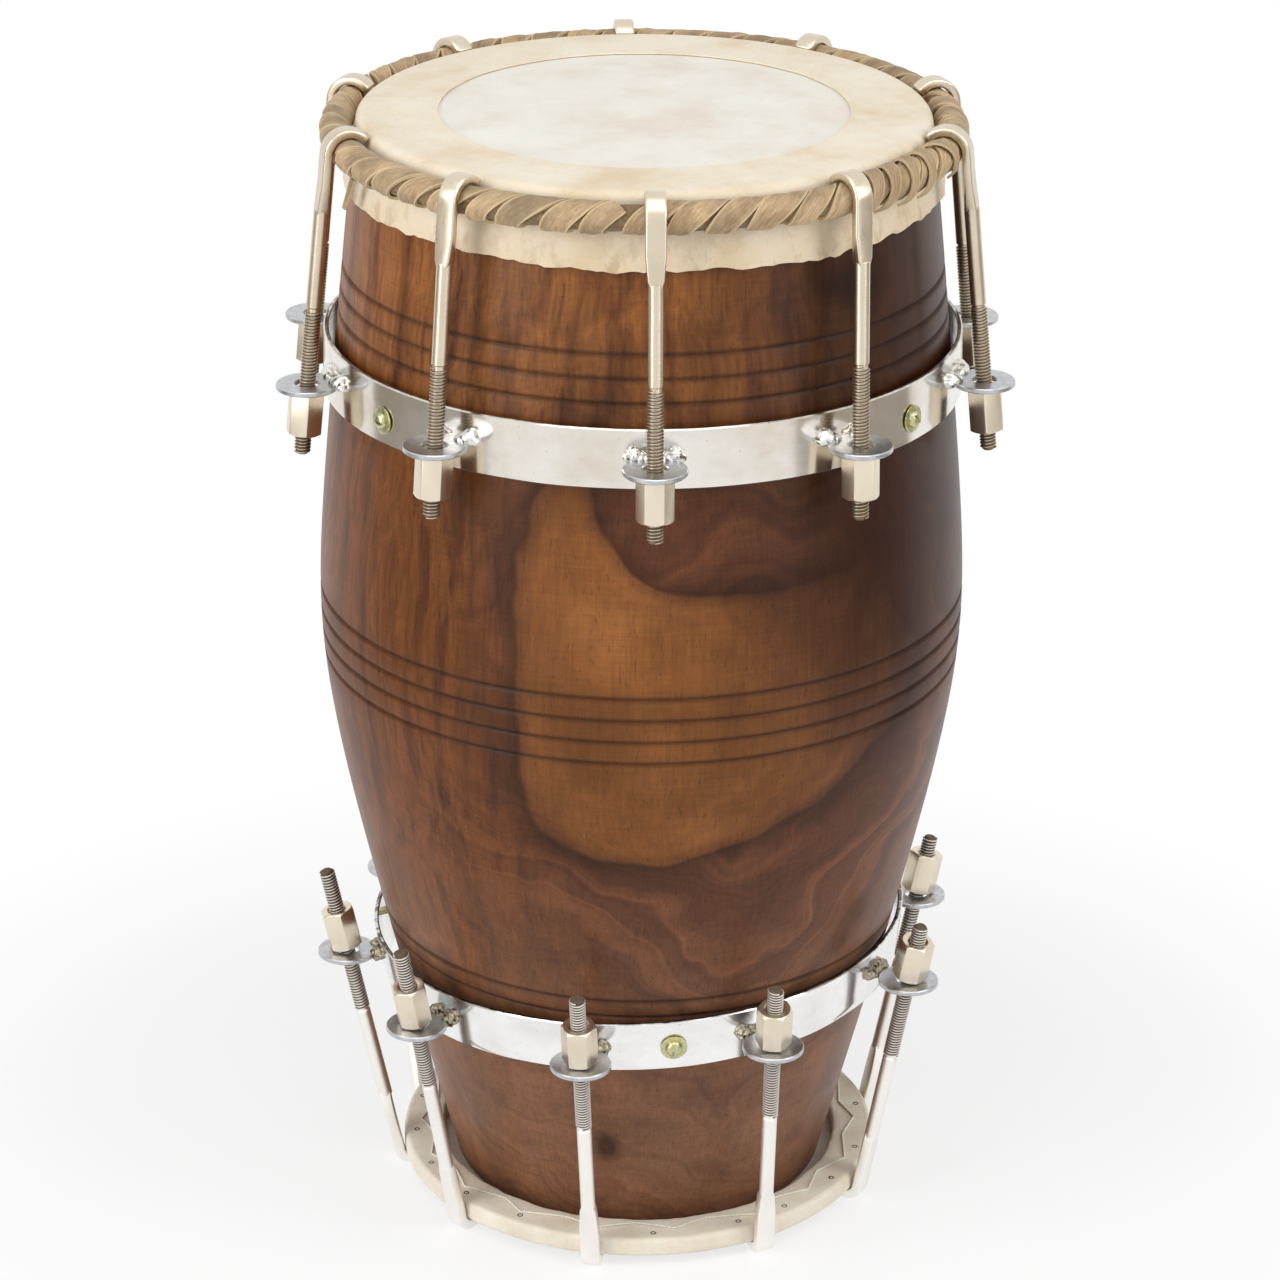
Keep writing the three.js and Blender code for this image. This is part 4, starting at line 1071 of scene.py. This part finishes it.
def hang_hooks(band, metal):
    """Ten hooks on a band, each standing along its own leaning rod."""
    lean, end = band["lean"], band["end"]
    stand = Matrix.Rotation(lean, 4, "Y")
    if band is LOWER:
        stand = stand @ Matrix.Rotation(pi, 4, "X")
    models = {drop: hook_model(band, drop) for drop in sorted(set(band["drops"]))}
    for index, (azimuth, side_lean, washer, drop) in enumerate(hook_places(band)):
        model, length = models[drop]
        foot_radius = band["bend_radius"] + end * length * sin(lean)
        foot_height = band["bend_height"] + end * length * cos(lean)
        sideways = Matrix.Identity(4)
        sideways[1][2] = -tan(side_lean)
        sideways[1][3] = tan(side_lean) * washer * MM
        matrix = spoke(azimuth) @ sideways @ shift(foot_radius, 0, foot_height) @ stand
        hung(model, matrix, band, index, metal, "hook_nickel", ("claw", "tie", "hook"))
    discard(*[model for model, _ in models.values()])


hang_hooks(UPPER, NICKEL)
hang_hooks(LOWER, NICKEL_WITH_PAINTED_REFLECTION)


# Nuts.

NUT_END_RADIUS = 5.95
NUT_END_SLOPE = 0.62
NUT_BORE = 3.35
NUT_SINK_RADIUS = 4.2
NUT_SINK_DEPTH = 0.8
NUT_WEAR = 0.16
OVERRUN = 1


def nut_model():
    """A long hexagon nut, its corners cut back to a circle at both ends, with a countersunk bore."""
    corner = NUT_ACROSS_FLATS / sqrt(3)
    nut = primitive("cylinder", "nut_model", vertices=6, radius=corner * MM, depth=NUT_LENGTH * MM,
                    location=(0, 0, NUT_LENGTH / 2 * MM))
    end, outer = NUT_END_RADIUS, corner + 0.3
    rise = (outer - end) * NUT_END_SLOPE
    keep = turned("cut_ends", [
        (0, 0), (end, 0), (outer, rise), (outer, NUT_LENGTH - rise), (end, NUT_LENGTH), (0, NUT_LENGTH)], 72)
    carve(nut, keep, "INTERSECT")
    sink = NUT_SINK_RADIUS
    bore = turned("bore", [
        (0, -OVERRUN), (sink, -OVERRUN), (sink, 0), (NUT_BORE, NUT_SINK_DEPTH),
        (NUT_BORE, NUT_LENGTH - NUT_SINK_DEPTH), (sink, NUT_LENGTH), (sink, NUT_LENGTH + OVERRUN),
        (0, NUT_LENGTH + OVERRUN)], 36)
    carve(nut, bore)
    clean(nut, 0.01)
    apply(nut, "BEVEL", "worn", width=NUT_WEAR * MM, segments=2, limit_method="ANGLE",
          angle_limit=radians(40), use_clamp_overlap=True)
    smooth(nut, 20)
    return nut


def thread_nuts(band):
    model = nut_model()
    for index, (azimuth, side_lean, washer, _) in enumerate(hook_places(band)):
        end = Vector((tan(band["lean"]), -tan(side_lean), 1)) * band["end"]
        end.normalize()
        seat = end * nut_seat(band, side_lean)
        spot = shift(rod_radius(band, washer) + seat.x, seat.y, washer + seat.z)
        stand = Vector((0, 0, 1)).rotation_difference(end).to_matrix().to_4x4()
        spun = Matrix.Rotation(radians(4 + 23 * index), 4, "Z")
        matrix = spoke(azimuth) @ spot @ stand @ spun
        hung(model, matrix, band, index, NUT_NICKEL, "nut_nickel", ("long_nut", "nut_body", "nut"))
    discard(model)


thread_nuts(UPPER)
thread_nuts(LOWER)


# Bass head.

SKIN_GAP = 0.3
SKIN_OUTSIDE = 1.0
SKIN_DROP = 9
OVERSKIN_GAP = 1.3
OVERSKIN_OUTSIDE = 1.9
OVERSKIN_DROP = 24
OVERSKIN_OPENING = 78.1
OPENING_SOFT = 6
FOLD_DROP = 3
SKIRT_STEP = 2.5
LASH_SWAY = 4.7
THONG_WIDTH = 9.4
WRAP_BAR = 4.8
WRAP_SHRINK = 0.05


def over_rim(offset, start, drop):
    """Half an outline that follows the bass rim at an offset, from a start radius to a hem."""
    centre = bearing_radius(SHELL_HEIGHT - RIM_ROUND) - RIM_ROUND
    flat = [(start + (centre - start) * i / 12, SHELL_TOP + offset) for i in range(12)]
    arc = round_corner((centre, SHELL_TOP - RIM_ROUND), RIM_ROUND + offset, 90, 0, 6)
    skirt = []
    fall = 2 * RIM_ROUND
    while fall < drop:
        skirt.append((bearing_radius(SHELL_HEIGHT - fall) + offset, SHELL_TOP - fall))
        fall += SKIRT_STEP
    skirt.append((bearing_radius(SHELL_HEIGHT - drop) + offset, SHELL_TOP - drop))
    return flat + arc + skirt


def bass_membrane():
    inside = over_rim(SKIN_GAP, 0, SKIN_DROP)
    outside = over_rim(SKIN_OUTSIDE, 0, SKIN_DROP)
    skin = turned("bass_membrane", inside + outside[::-1], 128)
    smooth(skin, 60)
    finished(skin, PALE_HIDE, "drum", "pale_skin", "bass_skin")


def torn_overskin():
    """The ring of darker skin: a cut opening, a soft fold over the rim and a torn, wrinkled hem."""
    inside = over_rim(OVERSKIN_GAP, OVERSKIN_OPENING, OVERSKIN_DROP)
    outside = over_rim(OVERSKIN_OUTSIDE, OVERSKIN_OPENING, OVERSKIN_DROP)
    outline = inside + outside[::-1]
    outline.append(outline[0])
    skin = turned("bass_torn_overskin", outline, 300)
    hem = SHELL_TOP - OVERSKIN_DROP
    fold = SHELL_TOP - FOLD_DROP

    def worn(place):
        x, y, z = place
        radius = hypot(x, y)
        azimuth = atan2(x, -y)
        out = Vector((x, y, 0)) / radius
        if z > SHELL_TOP:
            share = max(0, 1 - (radius - OVERSKIN_OPENING) / OPENING_SOFT)
            stretch = 1 + 0.006 * share * ripple(x, y, 0, 18)
            return x * stretch, y * stretch, z
        share = min(max((fold - z) / (fold - hem), 0), 1)
        wander = 0.25 * sin(7 * azimuth) - cos(azimuth - radians(25))
        tear = 2 * wander + 1.3 * ripple(x, y, 0, 16) + 0.9 * ripple(x, y, 40, 4)
        tucks = 0.7 + 1.2 * max(0, 1 - abs(degrees(azimuth) - 30) / 34)
        push = share * (0.25 + tucks * (ripple(x, y, z * 0.35, 8) + 0.3))
        return x + out.x * push, y + out.y * push, z + tear * share

    reshape(skin, worn)
    smooth(skin, 60)
    finished(skin, CREAM_HIDE, "drum", "cream_skin", "bass_overskin")


def strip_uv(obj, across, along):
    """A layout for a strip: share across it, and millimetres along it."""
    layer = obj.data.uv_layers.get("strip") or obj.data.uv_layers.new(name="strip")
    for loop in obj.data.loops:
        layer.data[loop.index].uv = (across[loop.vertex_index], along[loop.vertex_index])


def ribbon(name, rows, thickness):
    """A strip of hide from rows of points across it, given its thickness inwards."""
    width, count = len(rows[0]), len(rows)
    obj = primitive("grid", name, x_subdivisions=width - 1, y_subdivisions=count - 1, size=1)
    across, along = [0.0] * (width * count), [0.0] * (width * count)
    travelled = 0.0
    for j, row in enumerate(rows):
        if j:
            travelled += (row[width // 2] - rows[j - 1][width // 2]).length
        for i, point in enumerate(row):
            obj.data.vertices[j * width + i].co = point * MM
            across[j * width + i] = i / (width - 1)
            along[j * width + i] = travelled
    while obj.data.uv_layers:
        obj.data.uv_layers.remove(obj.data.uv_layers[0])
    strip_uv(obj, across, along)
    apply(obj, "SOLIDIFY", "hide", thickness=thickness * MM, offset=-1)
    smooth(obj, 50)
    return obj


def ring_point(run, turn, distance):
    """A point near the bass ring: how far along it, the angle round it and the distance off its middle."""
    radius = RING_RADIUS + distance * cos(turn)
    return Vector(round_axis(radius, run / RING_RADIUS, RING_HEIGHT + distance * sin(turn)))


def wound_thong():
    """One long thong wound slantwise round the ring, its width and lie changing a little, as by hand."""
    steps, width = 22, 6
    pitch = 2 * pi * RING_RADIUS / LASH_TURNS
    sway, start = radians(60), radians(200)
    rows = []
    for i in range(LASH_TURNS * steps - 7):
        turn = start + i * 2 * pi / steps
        wobble = 2.4 * noise.noise(Vector((i / 27, 3.1, 0)))
        swing = LASH_SWAY * (sin(turn - sway) - sin(start - sway))
        run = pitch * (turn - start) / (2 * pi) + swing
        climb = pitch / (2 * pi) + LASH_SWAY * cos(turn - sway)
        slant = atan2(climb, LASH_RADIUS)
        half = THONG_WIDTH / 2 * (1 + 0.34 * noise.noise(Vector((i / 19, 0, 5.5))))
        row = []
        for j in range(width + 1):
            side = 2 * j / width - 1
            aside = side * half
            fold = noise.noise(Vector((i / 13, side * 1.7, 9)))
            fold += 0.6 * noise.noise(Vector((i / 6, side * 3, 4)))
            lift = LASH_RADIUS + 0.4 + 0.55 * fold
            row.append(ring_point(run + wobble + aside * cos(slant),
                                  turn - aside * sin(slant) / LASH_RADIUS, lift))
        rows.append(row)
    thong = ribbon("bass_wound_thong", rows, THONG_THICKNESS)
    clean(thong)
    smooth(thong, 50)
    return thong


# Azimuth, width and sideways lean of each narrow strap.
STRAPS = [(46.5, 6.4, -6), (51.5, 6.0, -7), (56.5, 5.2, -6), (61.5, 5.6, -5), (66.0, 4.2, 3)]
STRAP_LIFT = 7.15
STRAP_THICKNESS = 0.9


def skin_straps():
    """Narrow straps from slits in the skin's edge, down over the ring, at the front right."""
    straps = []
    for azimuth, width, lean in STRAPS:
        rows = []
        for i in range(25):
            share = i / 24
            turn = radians(158 - 218 * share)
            lift = STRAP_LIFT + 0.25 * sin(9 * share + azimuth)
            run = radians(azimuth + lean * share) * RING_RADIUS
            half = width / 2 * (0.75 + 0.3 * sin(pi * min(share * 1.6, 1)))
            rows.append([ring_point(run + half * (2 * j / 4 - 1), turn, lift) for j in range(5)])
        straps.append(ribbon("strap", rows, STRAP_THICKNESS))
    return straps


def loose_end():
    """The loose end of the thong, hanging under the ring at the left."""
    rows = []
    for i in range(9):
        share = i / 8
        azimuth = radians(-64.5 - 1.6 * share)
        radius = RING_RADIUS + 1.5 + 2.5 * share
        height = RING_HEIGHT - 6.5 - 12 * share
        half = 2.2 - 0.8 * share
        row = []
        for j in range(5):
            row.append(Vector(round_axis(radius, azimuth + half * (2 * j / 4 - 1) / radius, height)))
        rows.append(row)
    return ribbon("loose_end", rows, 0.8)


def ring_wrap():
    """The cane ring in its wrap of hide: a round bar with slanting folds."""
    ring = primitive(
        "torus", "bass_wrapped_ring", major_radius=RING_RADIUS * MM, minor_radius=WRAP_BAR * MM,
        major_segments=300, minor_segments=20, location=(0, 0, RING_HEIGHT * MM))
    across, along = [], []

    def folded(place):
        x, y, z = place
        azimuth = atan2(x, -y)
        flat = hypot(x, y) - RING_RADIUS
        turn = atan2(z - RING_HEIGHT, flat)
        across.append(turn / pi * 2)
        along.append(azimuth * RING_RADIUS)
        fold = 0.18 * sin(24 * azimuth + turn) + 0.12 * ripple(x, y, z, 5)
        return ring_point(azimuth * RING_RADIUS, turn, WRAP_BAR - WRAP_SHRINK + fold)

    reshape(ring, folded)
    strip_uv(ring, across, along)
    smooth(ring, 80)
    finished(ring, WRAP, "drum", "ring_cane", "bass_ring")


bass_membrane()
torn_overskin()
ring_wrap()
lashing = joined("bass_wound_lashing", [wound_thong(), loose_end(), *skin_straps()])
finished(lashing, THONG, "drum", "thong_leather", "bass_lashing")


# Treble head.

HOOP_FOOT = 4.5
WRAP_TOP = 12.7
WRAP_RADIUS = 97.3
WRAP_ROUND = 2
WRAP_SKIN = 0.9
CURL_RADIUS = 81.1
CURL_FOOT = 6
LACE_RADIUS = 0.42
LACE_CORNERS = 36
LACE_INNER = 85.5
LACE_OUTER = 90.5
LACE_LIFT = 0.55
HOLE_COUNT = 20
HOLE_RING = 92.3
HOLE_START = 6
HOLE_OUTLINE = [(0, -0.2), (0.75, -0.1), (0.95, 0.12), (1.15, 0.02), (1.15, -0.5), (0, -0.5)]


def wrapped_skin():
    """A skin under the small rim, wrapped over the hoop and down inside it, its edge uneven."""
    corner, low, high = WRAP_RADIUS - WRAP_ROUND, HOOP_FOOT + WRAP_ROUND, WRAP_TOP - WRAP_ROUND
    outside = [(radius, HOOP_FOOT) for radius in (0, 40, 74, 84)]
    outside += round_corner((corner, low), WRAP_ROUND, -90, 0, 6)
    outside += [(WRAP_RADIUS, (low + high) / 2)]
    outside += round_corner((corner, high), WRAP_ROUND, 0, 90, 6)
    outside += [(radius, WRAP_TOP) for radius in (91, 87, 84.5, 82.4)]
    outside += [(CURL_RADIUS + 0.4, WRAP_TOP - 0.4), (CURL_RADIUS, WRAP_TOP - 1.3), (CURL_RADIUS, CURL_FOOT)]
    inside = [(CURL_RADIUS + 0.6, CURL_FOOT), (CURL_RADIUS + 0.6, WRAP_TOP - 1.5)]
    inside += [(radius, WRAP_TOP - WRAP_SKIN) for radius in (82.4, 87)]
    inside += round_corner((corner, high), WRAP_ROUND - WRAP_SKIN, 90, 0, 4)
    inside += round_corner((corner, low), WRAP_ROUND - WRAP_SKIN, 0, -90, 4)
    inside += [(radius, HOOP_FOOT + WRAP_SKIN) for radius in (84, 40, 0)]
    skin = turned("treble_wrapped_skin", outside + inside, 240)

    def shrunk(place):
        x, y, z = place
        radius = hypot(x, y)
        if radius < CURL_RADIUS - 1:
            return x, y, z
        push = 0.22 * ripple(x, y, z * 2, 20)
        if z > CURL_FOOT - 0.1:
            share = min(max(0, 1 - (radius - 83) / 5), 1)
            along = (82 * x / radius, -82 * y / radius)
            push += share * (0.6 * ripple(*along, 7, 5) + 0.45 * ripple(*along, 3, 17))
        if z > WRAP_TOP - 1.2:
            z += 0.12 * ripple(x, y, 0, 9)
        return x + x / radius * push, y + y / radius * push, z

    reshape(skin, shrunk)
    smooth(skin, 60)
    finished(skin, HOOP_HIDE, "drum", "hoop_skin", "treble_skin")


def thread_tube(name, points, radius):
    """A closed thread through points in millimetres."""
    curve = bpy.data.curves.new(name, "CURVE")
    curve.dimensions = "3D"
    curve.bevel_depth = radius * MM
    curve.bevel_resolution = 2
    spline = curve.splines.new("POLY")
    spline.points.add(len(points) - 1)
    for spot, point in zip(spline.points, points):
        spot.co = (*[value * MM for value in point], 1)
    spline.use_cyclic_u = True
    obj = bpy.data.objects.new(name, curve)
    bpy.context.scene.collection.objects.link(obj)
    take(obj)
    bpy.ops.object.convert(target="MESH")
    clean(obj)
    smooth(obj, 80)
    return obj


def zigzag_lacing():
    """The closed thread that runs to and fro over the turned-in skin, pulled in a little at its corners."""
    chance = random.Random(4)
    points = []
    for i in range(LACE_CORNERS):
        azimuth = radians(360 / LACE_CORNERS * i + chance.uniform(-1.6, 1.6))
        radius = (LACE_OUTER if i % 2 else LACE_INNER) + chance.uniform(-0.5, 0.5)
        points.append(round_axis(radius, azimuth, WRAP_TOP + LACE_LIFT))
    fine = []
    for a, b in zip(points, points[1:] + points[:1]):
        for share in (0, 0.25, 0.5, 0.75):
            sag = 0.12 if share == 0 else 0
            x, y = [a[axis] + (b[axis] - a[axis]) * share for axis in (0, 1)]
            fine.append((x, y, a[2] - sag))
    lacing = thread_tube("treble_zigzag_lacing", fine, LACE_RADIUS)
    finished(lacing, THREAD, "drum", "lace_thread", "treble_lacing")


def punched_holes():
    """Holes along the hoop where the skin was first stretched, each a small dish with a raised lip, painted
    dark as the shade inside a hole.
    """
    marks = []
    for i in range(HOLE_COUNT):
        azimuth = 360 / HOLE_COUNT * i + HOLE_START + CHANCE.uniform(-2.5, 2.5)
        hole = turned("hole", HOLE_OUTLINE, 12)
        hole.data.transform(spoke(azimuth) @ shift(HOLE_RING + CHANCE.uniform(-0.6, 0.6), 0, WRAP_TOP + 0.08))
        marks.append(hole)
    holes = joined("treble_punched_holes", marks)
    smooth(holes, 40)
    finished(holes, HOLE_SHADE, "drum", "hoop_skin")


wrapped_skin()
zigzag_lacing()
punched_holes()
hoop_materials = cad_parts["treble_hoop"].data.materials
hoop_materials.clear()
hoop_materials.append(HOOP_IRON)


# Leave edit mode and select nothing.

let_go()
